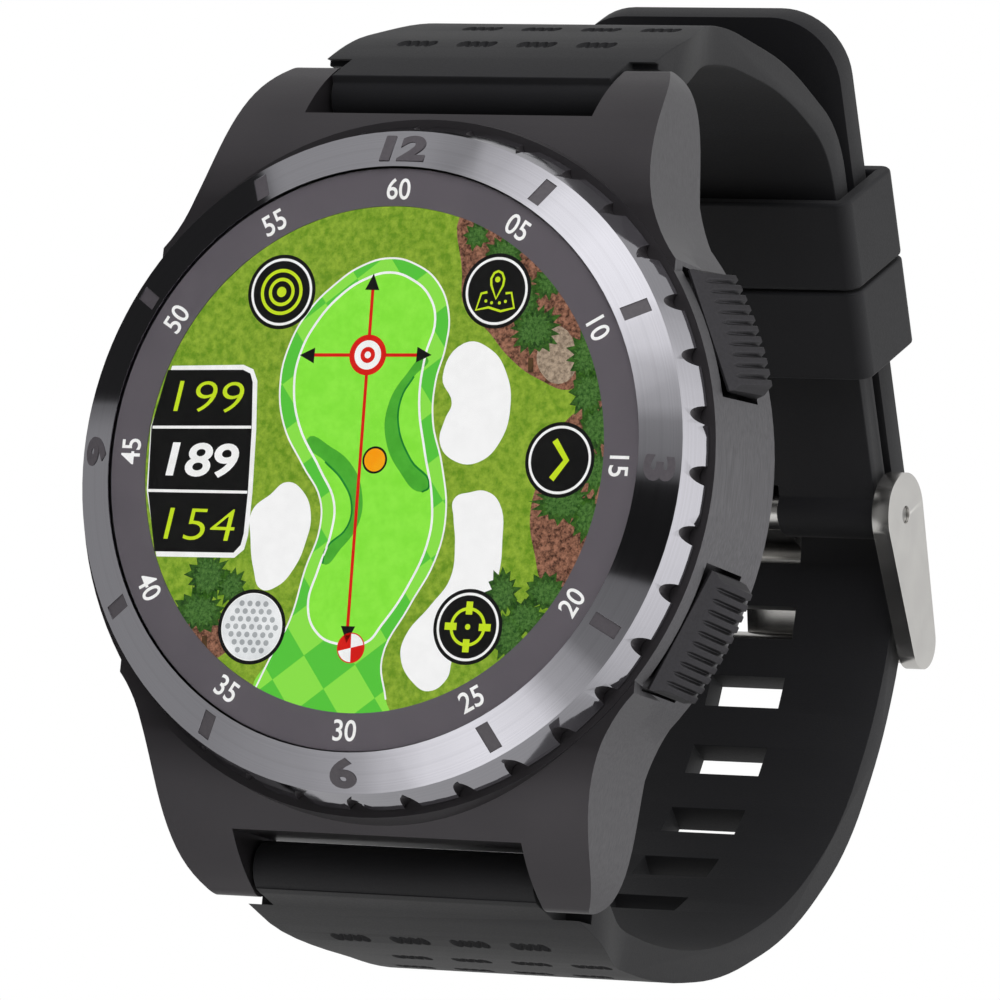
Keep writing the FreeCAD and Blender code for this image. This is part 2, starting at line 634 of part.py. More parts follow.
def make_pusher(side, angle):
    """One pusher with its stem, and the spring, seal, clip and switch that serve it."""
    prefix = side.capitalize()
    cap = pad_body(prefix + "Cap", "XZ_Plane", "Sizes.pusher_height", pusher_outline)
    cap.setExpression("Placement.Base.y", "Sizes.pusher_y")
    slope = block(prefix + "Slope", "6", "3", "20")
    slope.Placement = App.Placement(App.Vector(), App.Rotation(Z_AXIS, 41))
    slope.setExpression("Placement.Base.x", "Sizes.pusher_base + 0.5 + 3 * sin(41)")
    slope.setExpression("Placement.Base.y",
                        "Sizes.pusher_y - Sizes.pusher_height / 2 - 3 * cos(41)")
    stem = disc(prefix + "Stem", "stem_radius", "Sizes.pusher_base - Sizes.stem_end + 0.1",
                "Sizes.stem_end", ALONG_X)
    stem.setExpression("Placement.Base.y", "Sizes.pusher_y")
    groove = ring(prefix + "ClipGroove", "clip_radius", "stem_radius",
                  "Sizes.clip_depth + 0.04", "Sizes.clip_x - 0.02")
    for piece in (groove.Base, groove.Tool):
        piece.Placement = App.Placement(App.Vector(), ALONG_X)
        piece.setExpression("Placement.Base.y", "Sizes.pusher_y")
        piece.setExpression("Placement.Base.x", "Sizes.clip_x - 0.02")
    groove.Tool.setExpression("Radius", "Sizes.stem_radius - 0.25")
    whole = cut(prefix + "Whole", fuse(prefix + "Blank", cut(prefix + "Cut", cap, slope), stem), groove)
    keep(turned(prefix + "Pusher", whole, angle), side + "_button")

    clip = ring(prefix + "Clip", "clip_radius", "stem_radius", "Sizes.clip_depth", "Sizes.clip_x")
    for piece in (clip.Base, clip.Tool):
        piece.Placement = App.Placement(App.Vector(), ALONG_X)
        piece.setExpression("Placement.Base.y", "Sizes.pusher_y")
        piece.setExpression("Placement.Base.x", "Sizes.clip_x")
    clip.Tool.setExpression("Radius", "Sizes.stem_radius - 0.22")
    keep(turned(prefix + "ClipTurned", clip, angle), side + "_button_clip")

    seal = doc.addObject("Part::Torus", prefix + "Seal")
    seal.Placement = App.Placement(App.Vector(), ALONG_X)
    seal.setExpression("Radius1", "Sizes.stem_radius + Sizes.seal_ring_wire + 0.03")
    seal.setExpression("Radius2", "Sizes.seal_ring_wire")
    seal.setExpression("Placement.Base.x", "Sizes.seal_ring_x")
    seal.setExpression("Placement.Base.y", "Sizes.pusher_y")
    keep(turned(prefix + "SealTurned", seal, angle), side + "_button_seal")

    coil = doc.addObject("Part::Helix", prefix + "Coil")
    coil.setExpression("Pitch", "Sizes.spring_pitch")
    coil.setExpression("Height", "Sizes.spring_length")
    coil.setExpression("Radius", "Sizes.spring_radius")
    coil.SegmentLength = HALF_TURN
    wire = doc.addObject("Part::Circle", prefix + "Wire")
    wire.setExpression("Radius", "Sizes.spring_wire")
    wire.Placement = App.Placement(App.Vector(mm["spring_radius"], 0, 0), App.Rotation(X_AXIS, 90))
    spring = doc.addObject("Part::Sweep", prefix + "Spring")
    doc.recompute()
    spring.Sections = [wire]
    spring.Spine = (coil, ["Edge%d" % (number + 1) for number in range(len(coil.Shape.Edges))])
    spring.Solid = True
    spring.Frenet = True
    floor = mm["spring_well_floor"] + mm["spring_wire"] + 0.02
    spring.Placement = App.Placement(App.Vector(floor, mm["pusher_y"], 0), ALONG_X)
    keep(turned(prefix + "SpringTurned", spring, angle), side + "_button_spring")

    housing = block(prefix + "Switch", "Sizes.switch_depth", "Sizes.switch_side", "Sizes.switch_side",
                    "Sizes.stem_end - 1.35 - Sizes.switch_depth / 2",
                    "Sizes.pusher_y - Sizes.switch_side / 2 + 0.15")
    plunger = disc(prefix + "Plunger", "stem_radius", "0.35", "Sizes.stem_end - 1.36", ALONG_X)
    plunger.setExpression("Placement.Base.y", "Sizes.pusher_y")
    plunger.setExpression("Radius", "Sizes.stem_radius - 0.15")
    switch = fuse(prefix + "SwitchWhole", housing, plunger)
    keep(turned(prefix + "SwitchTurned", switch, angle), side + "_button_switch")


# ------------------------------------------------------------------- electronics
def make_electronics():
    """Board with its processor, satellite antenna, cell, vibration motor and beeper."""
    board = disc("Board", "board_radius", "Sizes.board_depth", "Sizes.board_front")
    chip = block("Chip", "Sizes.chip_side", "Sizes.chip_depth + 0.1", "Sizes.chip_side", "-7",
                 "Sizes.board_front - Sizes.chip_depth", "-4")
    keep(fuse("MainBoard", board, chip), "main_board")
    antenna = block("Antenna", "Sizes.antenna_side", "Sizes.antenna_depth", "Sizes.antenna_side",
                    "5", "Sizes.board_front - Sizes.antenna_depth", "5")
    keep(antenna, "gps_antenna")
    cell = block("Cell", "Sizes.battery_width", "Sizes.battery_depth", "Sizes.battery_height",
                 "-2.5", "Sizes.battery_front", "1.5")
    keep(cell, "battery")
    motor = disc("Motor", "motor_radius", "Sizes.motor_depth", "-5.2")
    motor.Placement.Base = App.Vector(12.5, 0, -9.0)
    keep(motor, "vibration_motor")
    beeper = disc("Beeper", "beeper_radius", "Sizes.beeper_depth", "-2.5")
    beeper.Placement.Base = App.Vector(0, 0, 12.0)
    keep(beeper, "beeper")


# ----------------------------------------------------------------- strap and buckle
LEAN = math.radians(mm["strap_lean"])
DOWN = (math.sin(LEAN), -math.cos(LEAN))
OUT = (math.cos(LEAN), math.sin(LEAN))
HINGE_INSET = 1.1


def lap_point(run, out):
    """A place in the side view, along the straps' closing stretch and out from it."""
    y = mm["lap_y"] + run * DOWN[0] + out * OUT[0]
    z = mm["lap_z"] + run * DOWN[1] + out * OUT[1]
    return y, z


HINGE = lap_point(mm["hinge_run"], HINGE_INSET)
TAIL_START = lap_point(26.6, mm["strap_lap"])
TAIL_END = (TAIL_START[0] - mm["tail_run"] * DOWN[0], TAIL_START[1] - mm["tail_run"] * DOWN[1])
LAP_BEND = lap_point(-4.7, 0)
BARREL = (mm["bar_y"], mm["bar_z"])

# inner line of each strap in the side view, from its spring bar, as (Y, Z)
LONG_LINE = [(BARREL[0], -BARREL[1] + 1.8), (6.5, -28.9), (16.5, -29.8), (26.0, -28.6),
             (36.5, -24.3), (44.3, -17.6), (48.3, -9.6), (TAIL_START[0], -3.0), TAIL_START,
             TAIL_END]
LONG_RADII = [32.0, 43.0, 35.0, 31.0, 21.5, 32.0, 25.0, 8.0]
SHORT_LINE = [(BARREL[0], BARREL[1] - 1.8), (2.2, 29.3), (11.0, 33.2), (23.0, 33.1), LAP_BEND,
              lap_point(mm["hinge_run"], 0)]
SHORT_RADII = [28.0, 21.0, 31.0, 8.0]


def strap_thickness(line, full_from):
    """Thick beside the case, then the body's thickness."""
    root = mm["strap_root"]
    body = mm["strap_body"]
    result = []
    for y, z in line:
        share = min(max((y - 2.0) / (full_from - 2.0), 0.0), 1.0)
        result.append(root + (body - root) * share)
    return result


def strap_blank(prefix, line, radii, side, barrel_z):
    """A strap's full band, its wider stretch beside the case and its round end."""
    thickness = strap_thickness(line, 20.0)
    thickness[0] = 2 * 1.8
    band = pad_body(prefix + "Band", "YZ_Plane", "Sizes.strap_width", flat_outline,
                    band_edges(line, radii, thickness, side))
    flare = pad_body(prefix + "Flare", "YZ_Plane", "Sizes.strap_flare", flat_outline,
                     band_edges(line, radii, thickness, side))
    beyond = block(prefix + "Beyond", "60", "80", "120", "0", "11")
    clear = block(prefix + "Clear", "60", "22", "59.6", "0", "-22 + 0.7")
    collar = block(prefix + "Collar", "60", "24", "60.4", "0", "-24 - 1.8")
    barrel = disc(prefix + "Barrel", "strap_barrel", "Sizes.strap_width",
                  "-Sizes.strap_width / 2", ALONG_X)
    barrel.setExpression("Placement.Base.y", "Sizes.bar_y")
    barrel.setExpression("Placement.Base.z", barrel_z)
    bore = disc(prefix + "BarrelBore", "bar_radius", "40", "-20", ALONG_X)
    bore.setExpression("Radius", "Sizes.bar_radius + 0.02")
    bore.setExpression("Placement.Base.y", "Sizes.bar_y")
    bore.setExpression("Placement.Base.z", barrel_z)
    wide = cut(prefix + "Wide", flare, beyond, clear, collar)
    return cut(prefix + "Bored", fuse(prefix + "Blank", band, barrel, wide), bore)


def slot_place(number):
    """Where the strap's slots are, counted from the buckle: Y, Z and lean."""
    places = [(50.0, 4.4, 0.0), (50.0, -1.7, 0.0), (49.3, -7.5, -17.0), (46.8, -13.0, -25.0),
              (43.6, -18.1, -41.0), (39.4, -21.9, -50.0), (34.6, -25.2, -62.0)]
    return places[number]


def round_tail(base):
    """The long strap with the corners of its free end rounded."""
    item = doc.addObject("Part::Fillet", "TailRounded")
    item.Base = base
    doc.recompute()
    tip = App.Vector(0, TAIL_END[0], TAIL_END[1])
    corners = []
    for index, edge in enumerate(base.Shape.Edges, start=1):
        centre = edge.CenterOfMass
        at_tip = App.Vector(0, centre.y, centre.z).distanceToPoint(tip) < mm["strap_body"]
        at_side = abs(abs(centre.x) - mm["strap_width"] / 2) < 0.01
        if at_tip and at_side and abs(edge.Length - mm["strap_body"]) < 0.05:
            corners.append((index, mm["tail_corner"], mm["tail_corner"]))
    item.Edges = corners
    return item


def make_straps():
    """The two silicone straps, closed round the wrist."""
    long_blank = strap_blank("Long", LONG_LINE, LONG_RADII, -1, "-Sizes.bar_z")
    slots = []
    for number in range(int(mm["slot_count"])):
        y, z, lean = slot_place(number)
        slot = doc.addObject("Part::Box", "Slot%d" % number)
        slot.setExpression("Length", "Sizes.slot_width")
        slot.Width = 8.0
        opening = "used_slot_length" if number == 0 else "slot_length"
        slot.setExpression("Height", "Sizes." + opening)
        place = App.Placement(App.Vector(0, y + 1.1, z), App.Rotation(X_AXIS, lean))
        corner = App.Vector(-mm["slot_width"] / 2, -4.0, -mm[opening] / 2)
        slot.Placement = place * App.Placement(corner, App.Rotation())
        slots.append(slot)
    keep(round_tail(cut("LongStrap", long_blank, *slots)), "strap_long")

    short_blank = strap_blank("Short", SHORT_LINE, SHORT_RADII, 1, "Sizes.bar_z")
    eye = disc("ShortEye", "strap_barrel", "Sizes.strap_width", "-Sizes.strap_width / 2", ALONG_X)
    eye.Placement.Base = App.Vector(0, HINGE[0], HINGE[1])
    eye_bore = disc("ShortEyeBore", "bar_radius", "40", "-20", ALONG_X)
    eye_bore.Placement.Base = App.Vector(0, HINGE[0], HINGE[1])
    eye_bore.setExpression("Radius", "Sizes.bar_radius + 0.02")
    notch = doc.addObject("Part::Box", "ShortNotch")
    notch.setExpression("Length", "Sizes.tang_notch")
    notch.Width = 12.0
    notch.Height = 6.0
    place = App.Placement(App.Vector(0, HINGE[0], HINGE[1]), App.Rotation(X_AXIS, mm["strap_lean"]))
    corner = App.Vector(-mm["tang_notch"] / 2, -6.0, -3.6)
    notch.Placement = place * App.Placement(corner, App.Rotation())
    keep(cut("ShortStrap", fuse("ShortWhole", short_blank, eye), eye_bore, notch), "strap_short")


def make_keepers():
    """Two silicone loops that hold the tail against the short strap."""
    for number, label in enumerate(("upper", "lower")):
        start = mm["keeper_start"] + number * mm["keeper_step"]
        outer = doc.addObject("Part::Box", label + "Outer")
        outer.setExpression("Length", "Sizes.keeper_gap + 2 * Sizes.keeper_wall")
        outer.setExpression("Width", "Sizes.keeper_room + 2 * Sizes.keeper_wall")
        outer.setExpression("Height", "Sizes.keeper_length")
        room = doc.addObject("Part::Box", label + "Room")
        room.setExpression("Length", "Sizes.keeper_gap")
        room.setExpression("Width", "Sizes.keeper_room")
        room.Height = 20.0
        wall = mm["keeper_wall"]
        half = mm["keeper_gap"] / 2
        y, z = lap_point(start + mm["keeper_length"], mm["keeper_inside"])
        place = App.Placement(App.Vector(0, y, z), App.Rotation(X_AXIS, mm["strap_lean"]))
        outer.Placement = place * App.Placement(App.Vector(-half - wall, -wall, 0), App.Rotation())
        room.Placement = place * App.Placement(App.Vector(-half, 0, -5), App.Rotation())
        edged = doc.addObject("Part::Fillet", label + "Edged")
        edged.Base = outer
        doc.recompute()
        long_edges = []
        for index, edge in enumerate(outer.Shape.Edges, start=1):
            if abs(edge.Length - mm["keeper_length"]) < 0.01:
                long_edges.append((index, 1.1, 1.1))
        edged.Edges = long_edges
        keep(cut(label + "Loop", edged, room), "keeper_" + label)


def arm_edges(y, z):
    """Side view of a buckle arm: a round head on the hinge, tapering to a round foot."""
    head = mm["arm_head"]
    foot = mm["arm_foot"]
    reach = math.hypot(mm["foot_y"], mm["foot_z"])
    heading = math.atan2(mm["foot_z"], mm["foot_y"])
    spread = math.acos((head - foot) / reach)

    def on(centre_y, centre_z, radius, angle):
        return App.Vector(centre_y + radius * math.cos(angle), centre_z + radius * math.sin(angle), 0)

    foot_y = y + mm["foot_y"]
    foot_z = z + mm["foot_z"]
    left = heading + spread
    right = heading - spread
    return [
        Part.Arc(on(y, z, head, left), on(y, z, head, heading + math.pi), on(y, z, head, right)).toShape(),
        Part.LineSegment(on(y, z, head, right), on(foot_y, foot_z, foot, right)).toShape(),
        Part.Arc(on(foot_y, foot_z, foot, right), on(foot_y, foot_z, foot, heading),
                 on(foot_y, foot_z, foot, left)).toShape(),
        Part.LineSegment(on(foot_y, foot_z, foot, left), on(y, z, head, left)).toShape(),
    ]


def make_buckle():
    """Polished frame, its tang and the spring bar that both turn on."""
    y, z = HINGE
    slab = pad_body("ArmSlab", "YZ_Plane", "Sizes.buckle_gap + 2 * Sizes.arm_depth",
                    flat_outline, arm_edges(y, z))
    middle = block("ArmGap", "Sizes.buckle_gap", "40", "60", "0", "30")
    hole = disc("ArmHole", "bar_radius", "40", "-20", ALONG_X)
    hole.Placement.Base = App.Vector(0, y, z)
    hole.setExpression("Radius", "Sizes.bar_radius + 0.05")
    crossbar = disc("CrossBar", "crossbar_radius", "Sizes.buckle_gap + 0.4",
                    "-(Sizes.buckle_gap + 0.4) / 2", ALONG_X)
    crossbar.Placement.Base = App.Vector(0, y + mm["crossbar_y"], z + mm["crossbar_z"])
    keep(cut("Frame", fuse("FrameWhole", cut("Arms", slab, middle), crossbar), hole), "buckle_frame")

    bar = disc("HingeBar", "bar_radius", "Sizes.hinge_bar_length", "-Sizes.hinge_bar_length / 2",
               ALONG_X)
    bar.Placement.Base = App.Vector(0, y, z)
    keep(bar, "buckle_spring_bar")

    line = [(y, z), (y + 3.1, z - 1.5), (y + 6.2, z - 2.4), (y + 8.65, z - 10.2)]
    half = mm["tang_depth"] / 2
    low = offset_points(line, [half] * 4, -1)
    high = offset_points(line, [half] * 4, 1)
    edges = rounded(low, [3.0, 1.6]) + rounded(high, [3.0, 2.7])
    edges.append(Part.LineSegment(App.Vector(*low[0], 0), App.Vector(*high[0], 0)).toShape())
    edges.append(Part.LineSegment(App.Vector(*low[-1], 0), App.Vector(*high[-1], 0)).toShape())
    blade = pad_body("Blade", "YZ_Plane", "Sizes.tang_width", flat_outline, edges)
    hub = disc("TangHub", "tang_hub", "Sizes.tang_width + 0.3", "-(Sizes.tang_width + 0.3) / 2", ALONG_X)
    hub.Placement.Base = App.Vector(0, y, z)
    eye = disc("TangEye", "bar_radius", "40", "-20", ALONG_X)
    eye.Placement.Base = App.Vector(0, y, z)
    eye.setExpression("Radius", "Sizes.bar_radius + 0.05")
    keep(cut("Tang", fuse("TangWhole", blade, hub), eye), "buckle_tang")


def make_spring_bars():
    """The bars that pin the straps between the lugs."""
    for label, sign in (("upper", ""), ("lower", "-")):
        bar = disc(label + "Bar", "bar_radius", "Sizes.bar_length", "-Sizes.bar_length / 2", ALONG_X)
        bar.setExpression("Placement.Base.y", "Sizes.bar_y")
        bar.setExpression("Placement.Base.z", sign + "Sizes.bar_z")
        keep(bar, "spring_bar_" + label)


make_bezel()
make_front()
make_case()
make_case_back()
make_pusher("upper", -mm["pusher_angle"])
make_pusher("lower", mm["pusher_angle"])
make_electronics()
make_spring_bars()
make_straps()
make_keepers()
make_buckle()
doc.recompute()

# ------------------------------------------------------------------ check and write
for item in doc.Objects:
    if "Invalid" in item.State or "Error" in item.State:
        raise RuntimeError("%s did not compute: %s" % (item.Name, item.State))
for item in nodes:
    if item.Shape.isNull() or not item.Shape.isValid():
        raise RuntimeError("%s has no good shape" % item.Label)

os.makedirs("parts", exist_ok=True)
for item in nodes:
    shape = item.Shape
    box = shape.BoundBox
    print("%-22s solids %d volume %9.2f  x %6.2f..%6.2f  y %6.2f..%6.2f  z %6.2f..%6.2f" % (
        item.Label, len(shape.Solids), shape.Volume,
        box.XMin, box.XMax, box.YMin, box.YMax, box.ZMin, box.ZMax))
    shape.exportStep("parts/%s.step" % item.Label)
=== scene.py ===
import bpy
import math
import random
from mathutils import Matrix, Vector


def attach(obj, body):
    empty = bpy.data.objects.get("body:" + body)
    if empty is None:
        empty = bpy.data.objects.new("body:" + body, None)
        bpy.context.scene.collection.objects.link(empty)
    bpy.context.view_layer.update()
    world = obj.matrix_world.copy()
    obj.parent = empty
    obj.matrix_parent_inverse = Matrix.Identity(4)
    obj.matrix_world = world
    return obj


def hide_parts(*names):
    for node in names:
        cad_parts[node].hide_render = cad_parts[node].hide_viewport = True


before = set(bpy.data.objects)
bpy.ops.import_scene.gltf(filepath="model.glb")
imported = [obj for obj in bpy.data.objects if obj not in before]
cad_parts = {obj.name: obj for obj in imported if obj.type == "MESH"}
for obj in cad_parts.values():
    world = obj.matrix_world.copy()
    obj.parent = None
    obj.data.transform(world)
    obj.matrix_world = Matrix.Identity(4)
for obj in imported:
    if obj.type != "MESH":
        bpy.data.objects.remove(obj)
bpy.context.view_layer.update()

# ---------------------------------------------------------------- camera and studio
# The watch hangs in front of a white backdrop over a pale floor. A long lens stands a little
# to its right and a little below it. Large soft panels give the polished bezel its bands.
MM = 0.001

lens = bpy.data.cameras.new("Camera")
lens.lens = 360
lens.sensor_width = 36
lens.clip_start = 0.05
camera = bpy.data.objects.new("Camera", lens)
bpy.context.collection.objects.link(camera)
to_right = Vector((0.893437, 0.438550, 0.097179))
to_top = Vector((-0.028946, -0.159683, 0.986744))
to_back = Vector((0.448254, -0.884407, -0.129973))
camera.matrix_world = (Matrix.Translation((0.31568, -0.61690, -0.09117))
                       @ Matrix((to_right, to_top, to_back)).transposed().to_4x4())
bpy.context.scene.camera = camera
bpy.context.scene.view_settings.view_transform = "Standard"


def colour(chip):
    """A colour chip, such as "#2a2a2e", as the linear values that a shader takes."""
    parts = [int(chip[start:start + 2], 16) / 255 for start in (1, 3, 5)]
    return [part / 12.92 if part <= 0.04045 else ((part + 0.055) / 1.055) ** 2.4
            for part in parts] + [1.0]


def add(owner, kind, values):
    """Adds one node. A lower-case name is a setting, any other is an input to set or link."""
    node = owner.node_tree.nodes.new("ShaderNode" + kind)
    for name, value in values.items():
        if isinstance(name, str) and name.islower():
            setattr(node, name, value)
        elif isinstance(value, bpy.types.NodeSocket):
            owner.node_tree.links.new(value, node.inputs[name])
        else:
            node.inputs[name].default_value = value
    return node


world = bpy.data.worlds.new("Studio")
bpy.context.scene.world = world
world.use_nodes = True
world.node_tree.nodes.clear()
towards = add(world, "TexCoord", {}).outputs["Generated"]
along = add(world, "VectorMath", {"operation": "DOT_PRODUCT", 0: towards,
                                  1: (-0.448, -0.884, 0.130)}).outputs["Value"]
upward = add(world, "VectorMath", {"operation": "DOT_PRODUCT", 0: towards,
                                   1: (0.059, 0.116, 0.992)}).outputs["Value"]
leftward = add(world, "VectorMath", {"operation": "DOT_PRODUCT", 0: towards,
                                     1: (-0.892, 0.452, 0.0)}).outputs["Value"]
turn = add(world, "Math", {"operation": "ARCTAN2", 0: leftward, 1: upward})
turns = add(world, "Math", {"operation": "DIVIDE", 0: turn.outputs[0], 1: 2 * math.pi})
share = add(world, "Math", {"operation": "FRACT", 0: turns.outputs[0]})

# panels and dark flags round the dial: the angle, and how bright the studio is there
PANELS = ((0, 0.40), (4, 0.24), (12, 0.30), (37, 0.28), (42, 0.28), (44, 0.015),
          (80, 0.015), (83, 0.23), (138, 0.24), (160, 0.32), (172, 0.38), (182, 0.56),
          (190, 0.80), (202, 0.90), (213, 0.84), (224, 0.42), (235, 0.17), (250, 0.14),
          (252, 0.01), (269, 0.01), (273, 0.12), (281, 0.20), (290, 0.40), (302, 0.76),
          (313, 0.96), (325, 1.0), (337, 0.90), (348, 0.66))
ring = add(world, "ValToRGB", {"Fac": share.outputs[0]})
marks = ring.color_ramp.elements
marks[0].position = 0
marks[0].color = (PANELS[0][1],) * 3 + (1,)
marks[1].position = 1
marks[1].color = (PANELS[0][1],) * 3 + (1,)
for angle, bright in PANELS[1:]:
    mark = marks.new(angle / 360)
    mark.color = (bright,) * 3 + (1,)

# behind the watch the studio is plain and soft, and brighter on its right
sides = add(world, "SeparateXYZ", {"Vector": towards})
right_wall = add(world, "MapRange", {"Value": sides.outputs["X"], "From Min": 0.45,
                                     "From Max": 0.95, "To Min": 0.30, "To Max": 0.80})
flag = add(world, "MapRange", {"Value": along, "From Min": 0.80, "From Max": 0.92,
                               "To Min": 1.0, "To Max": 0.04})
ahead = add(world, "VectorMath", {"operation": "SCALE", 0: ring.outputs["Color"],
                                  "Scale": flag.outputs[0]})
front = add(world, "MapRange", {"Value": along, "From Min": -0.15, "From Max": 0.25})
whole = add(world, "MixRGB", {"Fac": front.outputs[0], "Color1": right_wall.outputs[0],
                              "Color2": ahead.outputs[0]})
room = add(world, "Background", {"Color": whole.outputs[0], "Strength": 2.0})
backdrop = add(world, "Background", {"Color": (1, 1, 1, 1), "Strength": 1.0})
seen = add(world, "LightPath", {}).outputs["Is Camera Ray"]
both = add(world, "MixShader", {0: seen, 1: room.outputs[0], 2: backdrop.outputs[0]})
add(world, "OutputWorld", {"Surface": both.outputs[0]})


def softbox(name, towards, distance, size, power):
    """A square soft panel that faces the watch from that direction."""
    lamp = bpy.data.lights.new(name, "AREA")
    lamp.shape = "SQUARE"
    lamp.size = size
    lamp.energy = power
    panel = bpy.data.objects.new(name, lamp)
    bpy.context.collection.objects.link(panel)
    place = Vector(towards).normalized() * distance
    panel.location = place
    panel.rotation_euler = place.to_track_quat("Z", "Y").to_euler()
    panel.visible_camera = False
    panel.visible_glossy = False


softbox("Key", (0.26, -0.74, 0.62), 0.55, 0.30, 1.6)
softbox("LeftTop", (-0.80, -0.30, 0.62), 0.60, 0.22, 0.8)
softbox("LowFill", (-0.45, -0.62, -0.64), 0.60, 0.30, 0.4)
softbox("RightRim", (0.80, 0.62, 0.25), 0.60, 0.40, 0.8)

bpy.ops.mesh.primitive_plane_add(size=1.6, location=(0, 0, -0.125))
floor = bpy.context.object
floor.name = "Floor"
card = bpy.data.materials.new("pale_card_floor")
card.use_nodes = True
card.node_tree.nodes["Principled BSDF"].inputs["Base Color"].default_value = colour("#f2f1ef")
card.node_tree.nodes["Principled BSDF"].inputs["Roughness"].default_value = 0.9
floor.data.materials.append(card)
floor.visible_glossy = False

# ---------------------------------------------------------------- case body
# The middle case with its four lugs, and the guard that stands between the two buttons.
# It is cast and machined, then coated satin black. The coating has a fine even tooth, and its
# machined facets on the lugs and the guard are brushed lengthways.


def new_finish(name, values):
    """A finish with its shader's own values, and where its pattern lies on the piece."""
    finish = bpy.data.materials.new(name)
    finish.use_nodes = True
    shader = finish.node_tree.nodes["Principled BSDF"]
    for socket, value in values.items():
        shader.inputs[socket].default_value = value
    return finish, shader, add(finish, "TexCoord", {}).outputs["Object"]


def lead(finish, output, socket):
    """Links a node's output to a socket of the shader."""
    finish.node_tree.links.new(output, socket)


def vary(finish, shader, pattern, spots, socket="Base Color"):
    """Lets a pattern move a socket of the shader between two colours or numbers."""
    if socket == "Base Color":
        mixed = add(finish, "MixRGB", {"Fac": pattern, "Color1": colour(spots[0]),
                                       "Color2": colour(spots[1])})
    else:
        mixed = add(finish, "MapRange", {"Value": pattern, "To Min": spots[0],
                                         "To Max": spots[1]})
    lead(finish, mixed.outputs[0], shader.inputs[socket])


def emboss(finish, shader, pattern, depth):
    """Raises and sinks the surface by a pattern, by that many millimetres."""
    raised = add(finish, "Bump", {"Height": pattern, "Distance": depth * MM, "Strength": 1.0})
    lead(finish, raised.outputs[0], shader.inputs["Normal"])


def select_only(piece):
    """Makes one object the only one that the next operator acts on."""
    bpy.ops.object.select_all(action="DESELECT")
    piece.select_set(True)
    bpy.context.view_layer.objects.active = piece


def machined(node, name, edge, steps=2, sharp=32):
    """A copy of a part from the frame, its triangles made whole faces and its edges broken."""
    piece = bpy.data.objects.new(name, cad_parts[node].data.copy())
    bpy.context.collection.objects.link(piece)
    piece.data.materials.clear()
    select_only(piece)
    bpy.ops.object.mode_set(mode="EDIT")
    bpy.ops.mesh.select_all(action="SELECT")
    bpy.ops.mesh.customdata_custom_splitnormals_clear()
    bpy.ops.mesh.remove_doubles(threshold=0.002 * MM)
    bpy.ops.mesh.dissolve_limited(angle_limit=math.radians(1.0))
    bpy.ops.mesh.normals_make_consistent(inside=False)
    bpy.ops.object.mode_set(mode="OBJECT")
    if edge:
        break_edges(piece, edge, steps, sharp)
    return piece


def break_edges(piece, edge, steps=2, sharp=32):
    """Rounds every sharp edge of a piece by a few hundredths of a millimetre or more."""
    select_only(piece)
    broken = piece.modifiers.new("broken_edges", "BEVEL")
    broken.width = edge * MM
    broken.segments = steps
    broken.limit_method = "ANGLE"
    broken.angle_limit = math.radians(sharp)
    bpy.ops.object.modifier_apply(modifier=broken.name)
    bpy.ops.object.shade_smooth_by_angle(angle=math.radians(sharp))
    even = piece.modifiers.new("even_shading", "WEIGHTED_NORMAL")
    even.keep_sharp = True
    bpy.ops.object.modifier_apply(modifier=even.name)


def place_of(face):
    """The middle of a face in millimetres."""
    return face.center / MM


def chamfered(piece, wanted, width, steps, sharp=32):
    """Breaks only the edges that a rule picks, by a wide bevel."""
    mesh = piece.data
    select_only(piece)
    bpy.context.tool_settings.mesh_select_mode = (False, True, False)
    bpy.ops.object.mode_set(mode="EDIT")
    bpy.ops.mesh.select_all(action="DESELECT")
    bpy.ops.object.mode_set(mode="OBJECT")
    for edge in mesh.edges:
        start, end = (mesh.vertices[point].co / MM for point in edge.vertices)
        edge.select = wanted(start, end)
    bpy.ops.object.mode_set(mode="EDIT")
    bpy.ops.mesh.bevel(offset=width * MM, segments=steps, affect="EDGES", clamp_overlap=True)
    bpy.ops.object.mode_set(mode="OBJECT")
    bpy.ops.object.shade_smooth_by_angle(angle=math.radians(sharp))


CASE_BACK_DEPTH = -0.6
LUG_INSIDE = 12.9
LUG_CHAMFER = 2.2
CASE_EDGE = 0.16
case = machined("case_body", "case_body_coated", 0)


def back_edge_of_lug(start, end):
    """True for the outer back edges of the lugs."""
    flat = max(abs(start.y - CASE_BACK_DEPTH), abs(end.y - CASE_BACK_DEPTH)) < 0.1
    outside = min(abs(start.x), abs(end.x)) > LUG_INSIDE
    return flat and outside and min(abs(start.z), abs(end.z)) > 9


chamfered(case, back_edge_of_lug, LUG_CHAMFER, 1)
break_edges(case, CASE_EDGE)

# satin black coating on cast alloy: a tooth of about 0.15 mm that softens its shine. The bezel
# also lays it on its scallop walls as painted shade.
black_coat_and_notch_shade, shader, spot = new_finish("satin_black_coated_alloy_and_notch_shade", {
    "Metallic": 0.75, "Roughness": 0.42, "Coat Weight": 0.15, "Coat Roughness": 0.35})
tooth = add(black_coat_and_notch_shade, "TexNoise", {"Vector": spot, "Scale": 6500, "Detail": 3})
cloud = add(black_coat_and_notch_shade, "TexNoise", {"Vector": spot, "Scale": 90, "Detail": 2})
vary(black_coat_and_notch_shade, shader, cloud.outputs[0], ("#363437", "#474447"))
vary(black_coat_and_notch_shade, shader, tooth.outputs[0], (0.34, 0.50), "Roughness")
emboss(black_coat_and_notch_shade, shader, tooth.outputs[0], 0.006)
case.data.materials.append(black_coat_and_notch_shade)

